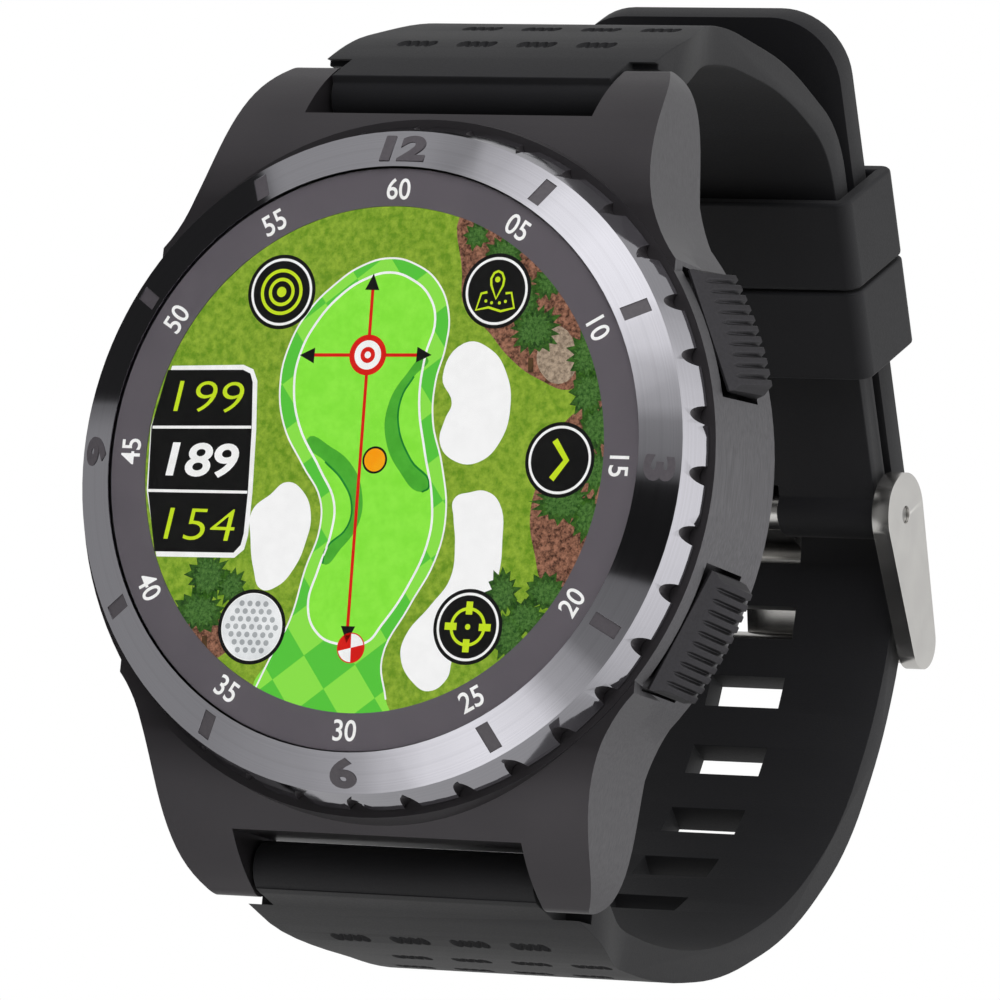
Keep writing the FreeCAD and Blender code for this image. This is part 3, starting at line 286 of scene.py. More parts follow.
# brushed facets: the same coating rubbed along the watch's length, in lines about 0.08 mm apart
brushed_coat, shader, spot = new_finish("brushed_gunmetal_facet", {
    "Metallic": 1.0, "Roughness": 0.34})
along = add(brushed_coat, "Mapping", {"Vector": spot, "Scale": (12000, 12000, 300)})
lines = add(brushed_coat, "TexNoise", {"Vector": along.outputs[0], "Scale": 1, "Detail": 3})
vary(brushed_coat, shader, lines.outputs[0], ("#4b4a4c", "#78777a"))
vary(brushed_coat, shader, lines.outputs[0], (0.28, 0.42), "Roughness")
emboss(brushed_coat, shader, lines.outputs[0], 0.004)
case.data.materials.append(brushed_coat)
for face in case.data.polygons:
    where = place_of(face)
    on_lug = abs(where.z) > 12 and abs(where.x) > 12.5 and abs(face.normal.x) > 0.55
    on_guard = abs(where.z) < 12 and where.x > 20.5 and face.normal.x > 0.4
    if on_lug or on_guard:
        face.material_index = 1
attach(case, "root")
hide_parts("case_body")

# ---------------------------------------------------------------- bezel
# A rotating-style ring of steel with a polished cone that carries the hours, and a coin edge
# of 36 scallops. It is turned, scalloped, satined round its axis and darkened to gunmetal.
BEZEL_EDGE = 0.09
NOTCH_COUNT = 36
NOTCH_CENTRE = 24.05
NOTCH_SHADE_REACH = 0.76
bezel = machined("bezel_ring", "bezel_ring_gunmetal", BEZEL_EDGE)


def lathe_lines(finish, spot, scale, detail, along_axis):
    """Fine lines round the dial's axis, and along its depth too where that is asked for."""
    split = add(finish, "SeparateXYZ", {"Vector": spot})
    across = add(finish, "Math", {"operation": "POWER", 0: split.outputs["X"], 1: 2.0})
    up = add(finish, "Math", {"operation": "POWER", 0: split.outputs["Z"], 1: 2.0})
    square = add(finish, "Math", {"operation": "ADD", 0: across.outputs[0], 1: up.outputs[0]})
    radius = add(finish, "Math", {"operation": "SQRT", 0: square.outputs[0]})
    places = {"X": radius.outputs[0]}
    if along_axis:
        places["Y"] = split.outputs["Y"]
    rounds = add(finish, "CombineXYZ", places)
    return add(finish, "TexNoise", {"Vector": rounds.outputs[0], "Scale": scale,
                                    "Detail": detail})


# gunmetal steel, satined on the lathe: turning lines about 0.1 mm apart round the dial's axis
gunmetal, shader, spot = new_finish("satined_gunmetal_steel", {"Metallic": 1.0})
turning = lathe_lines(gunmetal, spot, 9000, 2, True)
vary(gunmetal, shader, turning.outputs[0], ("#a09fa4", "#b0afb5"))
vary(gunmetal, shader, turning.outputs[0], (0.05, 0.10), "Roughness")
emboss(gunmetal, shader, turning.outputs[0], 0.0004)
bezel.data.materials.append(gunmetal)
bezel.data.materials.append(black_coat_and_notch_shade)
# the walls of the scallops take the black coat: painted shade, a dark sheet where the notches
# lie in shadow
for face in bezel.data.polygons:
    where = place_of(face)
    angle = math.degrees(math.atan2(where.x, where.z))
    nearest = math.radians(round(angle * NOTCH_COUNT / 360) * 360 / NOTCH_COUNT)
    gap = math.hypot(where.x - NOTCH_CENTRE * math.sin(nearest),
                     where.z - NOTCH_CENTRE * math.cos(nearest))
    if gap < NOTCH_SHADE_REACH and abs(face.normal.y) < 0.2:
        face.material_index = 1
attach(bezel, "root")
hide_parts("bezel_ring")

# dark enamel run into the engraved marks, slightly grainy and dull beside the steel
enamel, shader, spot = new_finish("dark_filled_enamel", {"Roughness": 0.45})
grain = add(enamel, "TexNoise", {"Vector": spot, "Scale": 5000, "Detail": 2})
vary(enamel, shader, grain.outputs[0], ("#38343a", "#4a464a"))
emboss(enamel, shader, grain.outputs[0], 0.004)
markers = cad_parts["hour_markers"]
markers.data.materials.clear()
markers.data.materials.append(enamel)

# ---------------------------------------------------------------- hour numerals
# 12, 3, 6 and 9 on the bezel's cone, in the same dark enamel as the bars between them. They
# stand a hair proud of the steel and lean back with it.
CONE_LEAN = math.atan2(1.28, 2.7)
CONE_MIDDLE = (21.75, -13.72)


def lettering(text, height, weight, thick, slant=0.0, stretch=1.0):
    """A line of figures centred on the origin, in a mesh that faces the front of the watch."""
    bpy.ops.object.text_add(location=(0, 0, 0))
    piece = bpy.context.object
    piece.data.body = text
    piece.data.align_x = "CENTER"
    piece.data.align_y = "CENTER"
    piece.data.size = height * MM / 0.70
    piece.data.offset = weight * MM
    piece.data.extrude = thick * MM
    piece.data.shear = slant
    piece.data.resolution_u = 5
    select_only(piece)
    bpy.ops.object.convert(target="MESH")
    piece = bpy.context.object
    low = Vector([min(point.co[axis] for point in piece.data.vertices) for axis in range(3)])
    high = Vector([max(point.co[axis] for point in piece.data.vertices) for axis in range(3)])
    middle = (low + high) / 2
    piece.location = (-middle.x * stretch, -middle.y, 0)
    piece.scale = (stretch, 1, 1)
    bpy.ops.object.transform_apply(location=True, rotation=True, scale=True)
    piece.rotation_euler = (math.pi / 2, 0, 0)
    bpy.ops.object.transform_apply(location=True, rotation=True, scale=True)
    return piece


def set_round(piece, radius, depth, angle, turn, lean=0.0):
    """Moves lettering out from the centre to a clock angle, leant back and turned in place."""
    spin = Matrix.Rotation(math.radians(angle), 4, "Y")
    move = Matrix.Translation((0, depth * MM, radius * MM))
    upright = Matrix.Rotation(math.radians(turn), 4, "Y")
    piece.data.transform(spin @ move @ Matrix.Rotation(-lean, 4, "X") @ upright)
    piece.data.update()


for text, angle, turn in (("12", 0, 0), ("3", 90, 0), ("6", 180, 180), ("9", 270, 0)):
    figure = lettering(text, 1.9, 0.13, 0.05, stretch=1.45)
    set_round(figure, CONE_MIDDLE[0], CONE_MIDDLE[1], angle, turn, CONE_LEAN)
    figure.name = "bezel_figure_" + text
    figure.data.materials.clear()
    figure.data.materials.append(enamel)
    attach(figure, "root")

# ---------------------------------------------------------------- dial ring
# The flat ring round the display with the minutes on it. It is a dark print on the underside
# of the cover glass, and its figures are left white. The figures take the display's lit white,
# so they glow though they are print: a painted glow.
DISPLAY_DEPTH = -14.0
DISPLAY_RADIUS = 17.65
RING_RADIUS = 20.28
RING_THICKNESS = 0.6
RING_STEP = 0.057


def painted(outlines, layer, finish, soft=True):
    """A flat patch of print from its outlines in mm, that many thin layers above the display."""
    sheet = bpy.data.curves.new("patch", "CURVE")
    sheet.dimensions = "2D"
    sheet.fill_mode = "BOTH"
    sheet.resolution_u = 6
    for outline in outlines:
        if soft:
            line = sheet.splines.new("BEZIER")
            line.bezier_points.add(len(outline) - 1)
            for point, (x, z) in zip(line.bezier_points, outline):
                point.co = (x * MM, z * MM, 0)
                point.handle_left_type = "AUTO"
                point.handle_right_type = "AUTO"
        else:
            line = sheet.splines.new("POLY")
            line.points.add(len(outline) - 1)
            for point, (x, z) in zip(line.points, outline):
                point.co = (x * MM, z * MM, 0, 1)
        line.use_cyclic_u = True
    return laid_flat(sheet, layer, finish, 1.0)


def laid_flat(sheet, layer, finish, thick):
    """Makes a flat curve a mesh, stands it up facing the front and lays it on its layer."""
    piece = bpy.data.objects.new("print", sheet)
    bpy.context.collection.objects.link(piece)
    select_only(piece)
    bpy.ops.object.convert(target="MESH")
    piece = bpy.context.object
    piece.scale = (1, 1, thick)
    bpy.ops.object.transform_apply(location=True, rotation=True, scale=True)
    piece.rotation_euler = (math.pi / 2, 0, 0)
    piece.location = (0, (DISPLAY_DEPTH - 0.004 * layer) * MM, 0)
    bpy.ops.object.transform_apply(location=True, rotation=True, scale=True)
    piece.data.materials.clear()
    piece.data.materials.append(finish)
    return piece


def drawn(points, width, layer, finish, closed=False, soft=False):
    """A printed line of one width through points in mm."""
    sheet = bpy.data.curves.new("line", "CURVE")
    sheet.dimensions = "3D"
    sheet.bevel_depth = width / 2 * MM
    sheet.bevel_resolution = 1
    sheet.use_fill_caps = True
    sheet.resolution_u = 6
    line = sheet.splines.new("BEZIER")
    line.bezier_points.add(len(points) - 1)
    for point, (x, z) in zip(line.bezier_points, points):
        point.co = (x * MM, z * MM, 0)
        point.handle_left_type = "AUTO" if soft else "VECTOR"
        point.handle_right_type = "AUTO" if soft else "VECTOR"
    line.use_cyclic_u = closed
    return laid_flat(sheet, layer, finish, 0.01)


def arc(x, z, radius, count=24, start=0.0, sweep=360.0):
    """Points round a circle in mm, from a start angle through a sweep."""
    step = sweep / count
    return [(x + radius * math.cos(math.radians(start + step * number)),
             z + radius * math.sin(math.radians(start + step * number)))
            for number in range(count)]


def joined(pieces, name):
    """Makes one object of several."""
    bpy.ops.object.select_all(action="DESELECT")
    for piece in pieces:
        piece.select_set(True)
    bpy.context.view_layer.objects.active = pieces[0]
    bpy.ops.object.join()
    whole = bpy.context.object
    whole.name = name
    return whole


bpy.context.tool_settings.mesh_select_mode = (False, False, True)
bpy.ops.object.select_all(action="DESELECT")
bpy.ops.mesh.primitive_cylinder_add(vertices=180, radius=RING_RADIUS * MM,
                                    depth=RING_THICKNESS * MM,
                                    end_fill_type="NGON", rotation=(math.pi / 2, 0, 0))
dial_ring = bpy.context.object
bpy.ops.object.transform_apply(location=True, rotation=True, scale=True)
bpy.ops.object.mode_set(mode="EDIT")
bpy.ops.mesh.select_all(action="DESELECT")
bpy.ops.object.mode_set(mode="OBJECT")
for face in dial_ring.data.polygons:
    face.select = abs(face.normal.y) > 0.9
bpy.ops.object.mode_set(mode="EDIT")
bpy.ops.mesh.inset(thickness=(RING_RADIUS - DISPLAY_RADIUS) * MM)
bpy.ops.mesh.bridge_edge_loops()
bpy.ops.object.mode_set(mode="OBJECT")
dial_ring.location = (0, (DISPLAY_DEPTH + RING_THICKNESS / 2 - RING_STEP) * MM, 0)
bpy.ops.object.transform_apply(location=True, rotation=True, scale=True)
bpy.ops.object.shade_smooth_by_angle(angle=math.radians(30))
dial_ring.name = "dial_ring_printed"

# back-printed ink under glass: dark warm grey, even, with a faint screen-print mottle
ring_ink, shader, spot = new_finish("back_printed_grey_ink", {
    "Roughness": 0.55, "Specular IOR Level": 0.25})
mottle = add(ring_ink, "TexNoise", {"Vector": spot, "Scale": 260, "Detail": 4})
vary(ring_ink, shader, mottle.outputs[0], ("#524e54", "#5b565c"))
dial_ring.data.materials.clear()
dial_ring.data.materials.append(ring_ink)
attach(dial_ring, "root")
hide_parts("minute_ring")


DISPLAY_GLOW = 0.92


def lit(name, chips, scale=900.0):
    """A colour of the lit display, with the slight unevenness of its fine dots."""
    finish, shader, spot = new_finish(name, {"Roughness": 0.6, "Specular IOR Level": 0.1,
                                             "Emission Strength": DISPLAY_GLOW,
                                             "Base Color": colour("#101010")})
    dots = add(finish, "TexNoise", {"Vector": spot, "Scale": scale, "Detail": 4,
                                    "Roughness": 0.7})
    firm = add(finish, "MapRange", {"Value": dots.outputs[0], "From Min": 0.36,
                                    "From Max": 0.64})
    mixed = add(finish, "MixRGB", {"Fac": firm.outputs[0], "Color1": colour(chips[0]),
                                   "Color2": colour(chips[1])})
    lead(finish, mixed.outputs[0], shader.inputs["Emission Color"])
    return finish


white_print = lit("white_print", ("#f4f4f2", "#ffffff"))
minutes = []
# the minutes are print, yet they take the display's glowing white: a painted glow
for number in range(12):
    outward = number < 4 or number > 8
    text = "60" if number == 0 else "%02d" % (number * 5)
    figure = lettering(text, 1.45, 0.02, 0.008, stretch=0.92)
    set_round(figure, 18.85, DISPLAY_DEPTH - RING_STEP, number * 30, 0 if outward else 180)
    figure.data.materials.clear()
    figure.data.materials.append(white_print)
    minutes.append(figure)
minute_figures = joined(minutes, "minute_figures")
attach(minute_figures, "root")

# ---------------------------------------------------------------- display
# A round colour display bonded behind the glass, here showing a golf hole. The picture is a
# stack of flat layers: turf, trees, sand, fairway, the distances and the round touch keys.
bpy.ops.object.select_all(action="DESELECT")
bpy.ops.mesh.primitive_cylinder_add(vertices=180, radius=(DISPLAY_RADIUS - 0.02) * MM,
                                    depth=2.4 * MM, end_fill_type="NGON",
                                    rotation=(math.pi / 2, 0, 0),
                                    location=(0, (DISPLAY_DEPTH + 1.2) * MM, 0))
panel = bpy.context.object
bpy.ops.object.transform_apply(location=True, rotation=True, scale=True)
bpy.ops.object.mode_set(mode="EDIT")
bpy.ops.mesh.select_all(action="DESELECT")
bpy.ops.object.mode_set(mode="OBJECT")
for face in panel.data.polygons:
    face.select = face.normal.y > 0.9
bpy.ops.object.mode_set(mode="EDIT")
bpy.ops.mesh.inset(thickness=1.2 * MM)
bpy.ops.transform.translate(value=(0, -0.5 * MM, 0))
bpy.ops.object.mode_set(mode="OBJECT")
bpy.ops.object.shade_smooth_by_angle(angle=math.radians(30))

turf = lit("mown_rough_turf", ("#66911a", "#95b337"), scale=1700)
green = lit("putting_green", ("#86e83a", "#92f046"))
shade = lit("green_slope", ("#46a82c", "#50b534"))
slope_rim = lit("green_slope_rim", ("#0b7a28", "#128a30"))
ink = lit("black_ink", ("#050505", "#0c0c0c"))
sand = lit("white_sand", ("#fafafa", "#ffffff"))
mulch = lit("bark_mulch", ("#3f2418", "#a5735c"), scale=3400)
stone = lit("bark_and_stone", ("#7a6a5a", "#b9a58f"), scale=3800)
leaf = lit("tree_leaf", ("#143510", "#3f6b22"), scale=3600)
leaf_light = lit("tree_leaf_in_light", ("#1c4a14", "#56803a"), scale=4200)
trunk = lit("tree_trunk", ("#3d2a18", "#5d4428"))
red = lit("flag_red", ("#d3120a", "#de1a10"))
orange = lit("ball_orange", ("#ff9f00", "#ffac0c"))
lime = lit("reading_lime", ("#c4e01c", "#cde824"))
dimple = lit("ball_cover", ("#dcdfe1", "#f6f8f9"), scale=300)
dimple_dark = lit("ball_dimples", ("#9a9ea1", "#b4b8ba"), scale=300)

# the collar's mowing pattern: a checker of light and dark squares, 2.9 mm wide, turned askew
stripes, shader, spot = new_finish("mown_collar", {"Roughness": 0.6,
                                                   "Emission Strength": DISPLAY_GLOW,
                                                   "Specular IOR Level": 0.1,
                                                   "Base Color": colour("#101010")})
askew = add(stripes, "Mapping", {"Vector": spot, "Rotation": (0, math.radians(38), 0),
                                 "Scale": (350, 1, 350)})
squares = add(stripes, "TexChecker", {"Vector": askew.outputs[0], "Scale": 1.0,
                                      "Color1": colour("#58c93c"), "Color2": colour("#8ee64a")})
lead(stripes, squares.outputs[0], shader.inputs["Emission Color"])

panel.data.materials.clear()
panel.data.materials.append(turf)
picture = [panel]

# bark beds and the worn ground under the trees; the ring covers what runs past the display
picture.append(painted([[(5.4, 17.6), (9.6, 16.2), (14.4, 12.4), (16.9, 8.2), (15.0, 5.3),
                         (12.0, 5.9), (9.6, 7.4), (8.0, 9.0), (5.9, 10.8), (5.5, 13.0)]],
                       1, mulch))
picture.append(painted([[(18.3, 4.3), (14.9, 3.4), (13.1, -0.5), (12.5, -3.4), (13.1, -6.1),
                         (14.4, -8.6), (16.8, -8.4), (18.2, -5.0), (18.9, -1.5), (18.9, 1.6)]],
                       1, mulch))
picture.append(painted([[(12.9, 9.6), (14.9, 7.0), (14.0, 5.6), (12.2, 6.4), (11.9, 8.1)]],
                       2, stone))
picture.append(painted([[(-13.4, -11.2), (-10.8, -11.4), (-9.6, -13.4), (-12.5, -14.0)]],
                       1, mulch))

# bunkers
for outline in (
        [(6.2, 8.2), (8.3, 7.8), (9.7, 6.1), (10.2, 4.0), (9.7, 1.5), (8.2, 0.0), (6.4, 0.0),
         (5.1, 1.2), (5.3, 2.9), (5.7, 4.0), (4.8, 5.8)],
        [(6.6, -2.6), (7.8, -2.1), (9.0, -2.0), (10.1, -2.8), (10.6, -5.5), (10.5, -8.0),
         (9.4, -10.8), (7.7, -13.6), (7.4, -15.0), (6.1, -15.9), (4.9, -15.4), (3.7, -13.6),
         (3.9, -12.2), (5.6, -10.0), (6.9, -8.1), (7.0, -5.6), (6.7, -3.9)],
        [(-6.4, -1.8), (-5.1, -2.4), (-4.3, -4.0), (-4.5, -6.0), (-5.2, -7.8), (-6.4, -9.1),
         (-7.6, -9.3), (-8.3, -8.0), (-8.8, -5.8), (-8.9, -3.9), (-7.6, -2.7)]):
    picture.append(painted([outline], 3, sand))

# fairway, its light green inside and its darker slopes
fairway = [(-0.1, 14.0), (-2.3, 13.4), (-4.2, 12.1), (-6.1, 10.1), (-7.3, 7.7), (-7.7, 5.2),
           (-7.1, 2.2), (-5.3, -0.6), (-3.7, -2.9), (-3.5, -5.0), (-4.3, -7.8), (-5.1, -11.4),
           (-6.3, -14.0), (-7.4, -16.6), (-4.0, -18.6), (0.0, -19.0), (3.6, -18.6),
           (2.9, -16.6), (2.3, -13.8), (4.0, -10.1), (5.6, -6.9), (6.1, -3.8), (5.4, -0.2),
           (4.4, 2.7), (4.3, 5.5), (4.8, 7.9), (4.8, 10.2), (3.7, 12.4), (1.9, 13.6)]
putting = [(0.0, 13.0), (-1.9, 12.5), (-3.6, 11.4), (-5.4, 9.3), (-6.4, 7.1), (-6.6, 4.9),
           (-5.9, 2.2), (-3.9, -0.9), (-2.6, -3.1), (-2.6, -5.3), (-3.3, -7.8), (-3.8, -10.4),
           (-2.9, -12.2), (-1.2, -12.9), (1.0, -12.7), (2.0, -11.5), (3.7, -8.8), (5.0, -5.2),
           (4.9, -2.6), (4.0, 0.6), (3.2, 4.0), (3.3, 7.2), (3.8, 9.8), (3.1, 11.5),
           (1.8, 12.5)]
picture.append(painted([fairway], 4, stripes))
picture.append(painted([putting], 5, green))
picture.append(drawn(putting, 0.17, 7, white_print, closed=True, soft=True))
picture.append(drawn(fairway[17:] + fairway[:14], 0.13, 7, white_print, soft=True))
slope_east = [(3.5, 7.1), (1.9, 5.8), (0.8, 3.6), (0.9, 1.4), (2.2, -0.8), (4.1, -2.2),
              (4.6, -1.8), (3.0, 0.0), (1.8, 2.3), (1.8, 4.3), (2.6, 5.8)]
slope_west = [(-5.2, 1.2), (-3.2, 0.7), (-1.4, -0.6), (-0.5, -2.4), (-0.5, -4.4), (-1.7, -6.3),
              (-3.0, -7.4), (-2.9, -6.4), (-1.4, -4.8), (-1.2, -3.3), (-2.1, -1.6),
              (-3.6, -0.3)]
for slope, rim in ((slope_east, slope_east[5:]), (slope_west, slope_west[6:])):
    picture.append(painted([slope], 6, shade))
    picture.append(drawn(rim, 0.14, 7, slope_rim, soft=True))

# trees: uneven crowns of leaf round their trunks
random.seed(7)


def crown(x, z, across, high, spikes):
    """A leafy outline with uneven spikes round its middle."""
    points = []
    for number in range(spikes * 2):
        turn = math.pi * number / spikes
        reach = random.uniform(0.86, 1.08) if number % 2 else random.uniform(0.58, 0.78)
        points.append((x + across * reach * math.cos(turn), z + high * reach * math.sin(turn)))
    return points


for x, z, across, high, spikes in (
        (6.3, 15.7, 1.1, 1.1, 9), (8.6, 14.4, 1.6, 1.5, 13), (11.5, 9.3, 2.1, 1.9, 17),
        (10.2, 11.2, 1.7, 1.8, 13), (12.2, 12.6, 1.3, 1.4, 11), (15.7, 7.6, 1.7, 2.0, 14),
        (16.0, 5.0, 1.6, 2.0, 13), (16.9, 2.6, 1.5, 2.0, 12), (17.2, -0.4, 1.3, 1.8, 11),
        (14.9, -2.6, 2.5, 1.6, 17), (16.9, -3.6, 1.4, 1.8, 12), (14.3, -8.8, 1.8, 1.4, 13),
        (12.9, -10.6, 1.7, 1.5, 13), (11.9, -11.9, 1.4, 2.0, 13), (11.0, -9.0, 1.4, 1.8, 13),
        (-11.8, -8.5, 1.8, 1.9, 15), (-12.2, -11.0, 2.2, 1.7, 15), (-9.9, -9.2, 1.3, 1.4, 11)):
    picture.append(painted([crown(x, z, across, high, spikes)], 8, leaf, soft=False))
    picture.append(painted([crown(x, z, across * 0.7, high * 0.7, spikes)], 8.5, leaf_light,
                           soft=False))
for x, z in ((11.4, 7.3), (-11.6, -12.7), (12.4, -12.6)):
    picture.append(drawn([(x, z), (x + 0.1, z - 1.0)], 0.4, 7, trunk))


def disc_of(x, z, radius, layer, finish):
    """A round spot of one colour."""
    return painted([arc(x, z, radius)], layer, finish)


# cross-hair lines with their arrowheads, the target, the ball and the hole
picture.append(drawn([(-1.25, 12.3), (-0.56, -12.2)], 0.24, 9, red))
picture.append(drawn([(-5.9, 7.1), (3.3, 7.3)], 0.24, 9, red))
for x, z, turn in ((-1.28, 12.9, 90), (-0.54, -12.8, 270), (-6.4, 7.08, 180), (3.8, 7.32, 0)):
    along = Vector((math.cos(math.radians(turn)), math.sin(math.radians(turn))))
    aside = Vector((-along.y, along.x))
    tip = Vector((x, z))
    head = [tip, tip - along * 1.15 + aside * 0.55, tip - along * 1.15 - aside * 0.55]
    picture.append(painted([[tuple(point) for point in head]], 10, ink, soft=False))
for radius, finish in ((1.42, red), (1.02, white_print), (0.56, red), (0.24, white_print)):
    picture.append(disc_of(-1.12, 7.21, radius, 11 + 0.5 * (1.5 - radius), finish))
picture.append(disc_of(0.23, -0.08, 0.95, 10, ink))
picture.append(disc_of(0.23, -0.08, 0.80, 11, orange))
picture.append(disc_of(-0.17, -13.14, 1.06, 10, red))
for start in (15, 195):
    quarter = [(-0.17, -13.14)] + arc(-0.17, -13.14, 0.98, 8, start, 90)
    picture.append(painted([quarter], 11, white_print, soft=False))

# distances: three readings in a black box that runs to the display's edge
box = [(-16.3, 6.1), (-10.7, 6.3), (-9.9, 6.0), (-9.5, 5.2), (-9.2, 1.8), (-9.0, -2.6),
       (-9.0, -5.6), (-9.2, -6.6), (-9.9, -7.2), (-16.0, -7.3), (-17.3, -2.7), (-17.5, 1.8)]
picture.append(painted([box], 9, white_print, soft=False))
inside = [(-16.6, 5.8), (-10.7, 5.95), (-10.1, 5.7), (-9.85, 5.1), (-9.55, 1.8), (-9.35, -2.6),
          (-9.35, -5.5), (-9.5, -6.3), (-10.0, -6.85), (-16.2, -6.95), (-17.2, -2.7),
          (-17.45, 1.8)]
picture.append(painted([inside], 10, ink, soft=False))
picture.append(drawn([(-17.35, 1.75), (-9.6, 1.95)], 0.2, 11, white_print))
picture.append(drawn([(-17.2, -2.7), (-9.4, -2.6)], 0.2, 11, white_print))


def reading(text, x, z, high, wide, weight, finish):
    """One distance in slanted figures of a given height and width, in mm."""
    figures = lettering(text, high, weight, 0.004, slant=0.12)
    width = max(point.co.x for point in figures.data.vertices) * 2
    figures.scale = (wide * MM / width, 1, 1)
    figures.location = (x * MM, (DISPLAY_DEPTH - 0.048) * MM, z * MM)
    select_only(figures)
    bpy.ops.object.transform_apply(location=True, rotation=True, scale=True)
    figures.data.materials.clear()
    figures.data.materials.append(finish)
    return figures


picture.append(reading("199", -13.15, 4.0, 2.25, 5.4, -0.035, lime))
picture.append(reading("189", -13.15, -0.45, 2.25, 5.6, 0.07, white_print))
picture.append(reading("154", -12.85, -4.95, 2.3, 5.5, -0.035, lime))

# round touch keys: black with a white rim and a lime sign
keys = {"aim": (-8.3, 11.47), "map": (8.3, 11.87), "next": (14.36, 0.31),
        "move": (8.62, -11.38), "ball": (-7.99, -11.96)}
for x, z in keys.values():
    picture.append(disc_of(x, z, 2.62, 9, ink))
    picture.append(disc_of(x, z, 2.36, 10, white_print))
    picture.append(disc_of(x, z, 2.18, 11, ink))
x, z = keys["aim"]
for radius in (1.5, 0.88):
    picture.append(drawn(arc(x, z, radius), 0.24, 12, lime, closed=True, soft=True))
picture.append(disc_of(x, z, 0.36, 12, lime))
x, z = keys["next"]
picture.append(drawn([(x - 0.5, z + 1.35), (x + 0.5, z), (x - 0.5, z - 1.35)], 0.45, 12,
                     lime))
x, z = keys["move"]
picture.append(drawn(arc(x, z, 1.25), 0.22, 12, lime, closed=True, soft=True))
for turn in range(0, 360, 90):
    along = Vector((math.cos(math.radians(turn)), math.sin(math.radians(turn))))
    middle = Vector((x, z))
    picture.append(drawn([tuple(middle + along * 0.85), tuple(middle + along * 1.75)],
                         0.5, 13, lime))
picture.append(disc_of(x, z, 0.2, 12, lime))
x, z = keys["map"]
picture.append(drawn([(x - 0.7, z - 0.1), (x - 1.15, z - 0.2), (x - 1.45, z - 1.35),
                      (x - 0.5, z - 1.15), (x + 0.45, z - 1.4), (x + 1.45, z - 1.15),
                      (x + 1.15, z - 0.1), (x + 0.7, z - 0.15)], 0.17, 12, lime))
picture.append(drawn([(x, z - 0.55), (x - 0.45, z + 0.4), (x - 0.5, z + 0.85),
                      (x - 0.3, z + 1.25), (x, z + 1.38), (x + 0.3, z + 1.25),
                      (x + 0.5, z + 0.85), (x + 0.45, z + 0.4)], 0.17, 12, lime, closed=True))
picture.append(disc_of(x, z + 0.8, 0.2, 12, lime))
for shift in (-0.75, -0.3, 0.3, 0.75):
    picture.append(disc_of(x + shift, z - 0.9 + abs(shift) * 0.25, 0.11, 12, lime))
x, z = keys["ball"]
picture.append(disc_of(x, z, 2.3, 12, dimple))
for row in range(-3, 4):
    for column in range(-3, 4):
        spot_x = column * 0.62 + (row % 2) * 0.31
        spot_z = row * 0.54
        if math.hypot(spot_x, spot_z) < 2.0:
            picture.append(disc_of(x + spot_x, z + spot_z, 0.2, 13, dimple_dark))
display = joined(picture, "display_picture")
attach(display, "root")
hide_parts("display_module")

# ---------------------------------------------------------------- cover glass
# The flat mineral glass over the ring and the display, ground at its edge and set flush in
# the bezel. It has a coating that keeps its reflection faint.
GLASS_RADIUS = 20.3
GLASS_THICKNESS = 0.06
GLASS_DEPTH = -14.118
HEAD_ON_MIRROR = 0.015
bpy.ops.object.select_all(action="DESELECT")
bpy.ops.mesh.primitive_cylinder_add(vertices=180, radius=GLASS_RADIUS * MM,
                                    depth=GLASS_THICKNESS * MM, end_fill_type="NGON",
                                    rotation=(math.pi / 2, 0, 0),
                                    location=(0, GLASS_DEPTH * MM, 0))
glass = bpy.context.object
bpy.ops.object.transform_apply(location=True, rotation=True, scale=True)
ground = glass.modifiers.new("ground_edge", "BEVEL")
ground.width = 0.02 * MM
ground.segments = 2
bpy.ops.object.modifier_apply(modifier=ground.name)
bpy.ops.object.shade_smooth_by_angle(angle=math.radians(30))
glass.name = "cover_glass_coated"

# coated mineral glass: clear, with a weak mirror that grows at a grazing angle
clear = bpy.data.materials.new("coated_mineral_glass")
clear.use_nodes = True
clear.node_tree.nodes.clear()
through = add(clear, "BsdfTransparent", {})
mirror = add(clear, "BsdfGlossy", {"Roughness": 0.03})
aside = add(clear, "LayerWeight", {"Blend": 0.5})
steep = add(clear, "Math", {"operation": "POWER", 0: aside.outputs["Facing"], 1: 5.0})
grazing = add(clear, "Math", {"operation": "MULTIPLY_ADD", 0: steep.outputs[0],
                              1: 1 - HEAD_ON_MIRROR, 2: HEAD_ON_MIRROR})
surface = add(clear, "MixShader", {0: grazing.outputs[0], 1: through.outputs[0],
                                   2: mirror.outputs[0]})
add(clear, "OutputMaterial", {"Surface": surface.outputs[0]})
glass.data.materials.clear()
glass.data.materials.append(clear)
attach(glass, "root")
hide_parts("glass_lens")

# ---------------------------------------------------------------- buttons
# Two ribbed pushers on the 3 o'clock side, each on a stem that runs through the case wall.
# They are machined from steel and coated dark like the case, with softly broken rib edges.
STEM_FOOT = 24.2
RIB_BACK_DEPTH = -5.0
RIB_RUN = 4.0
RIB_SLANT = 0.62


def speckled(name, chips, scale, values, rough=None, depth=0.0):
    """A finish with a fine grain: its two colours, its roughness range and its tooth in mm."""
    finish, shader, spot = new_finish(name, values)
    fine = add(finish, "TexNoise", {"Vector": spot, "Scale": scale, "Detail": 3})
    vary(finish, shader, fine.outputs[0], chips)
    if rough:
        vary(finish, shader, fine.outputs[0], rough, "Roughness")
    if depth:
        emboss(finish, shader, fine.outputs[0], depth)
    return finish


button_coat = speckled("satin_dark_coated_steel", ("#2c2b2d", "#3d3c3f"), 5200,
                       {"Metallic": 0.85}, (0.34, 0.46), 0.005)
for side, lean in (("upper", 25), ("lower", -25)):
    button = machined(side + "_button", side + "_button_ribbed", 0)
    outward = Vector((math.cos(math.radians(lean)), 0, math.sin(math.radians(lean))))
    for point in button.data.vertices:
        proud = max(point.co.dot(outward) / MM - STEM_FOOT, 0)
        share = max(RIB_BACK_DEPTH - point.co.y / MM, 0) / RIB_RUN
        point.co -= outward * proud * share * RIB_SLANT * MM
    break_edges(button, 0.09)
    button.data.materials.append(button_coat)
    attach(button, side + "_button")
    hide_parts(side + "_button")

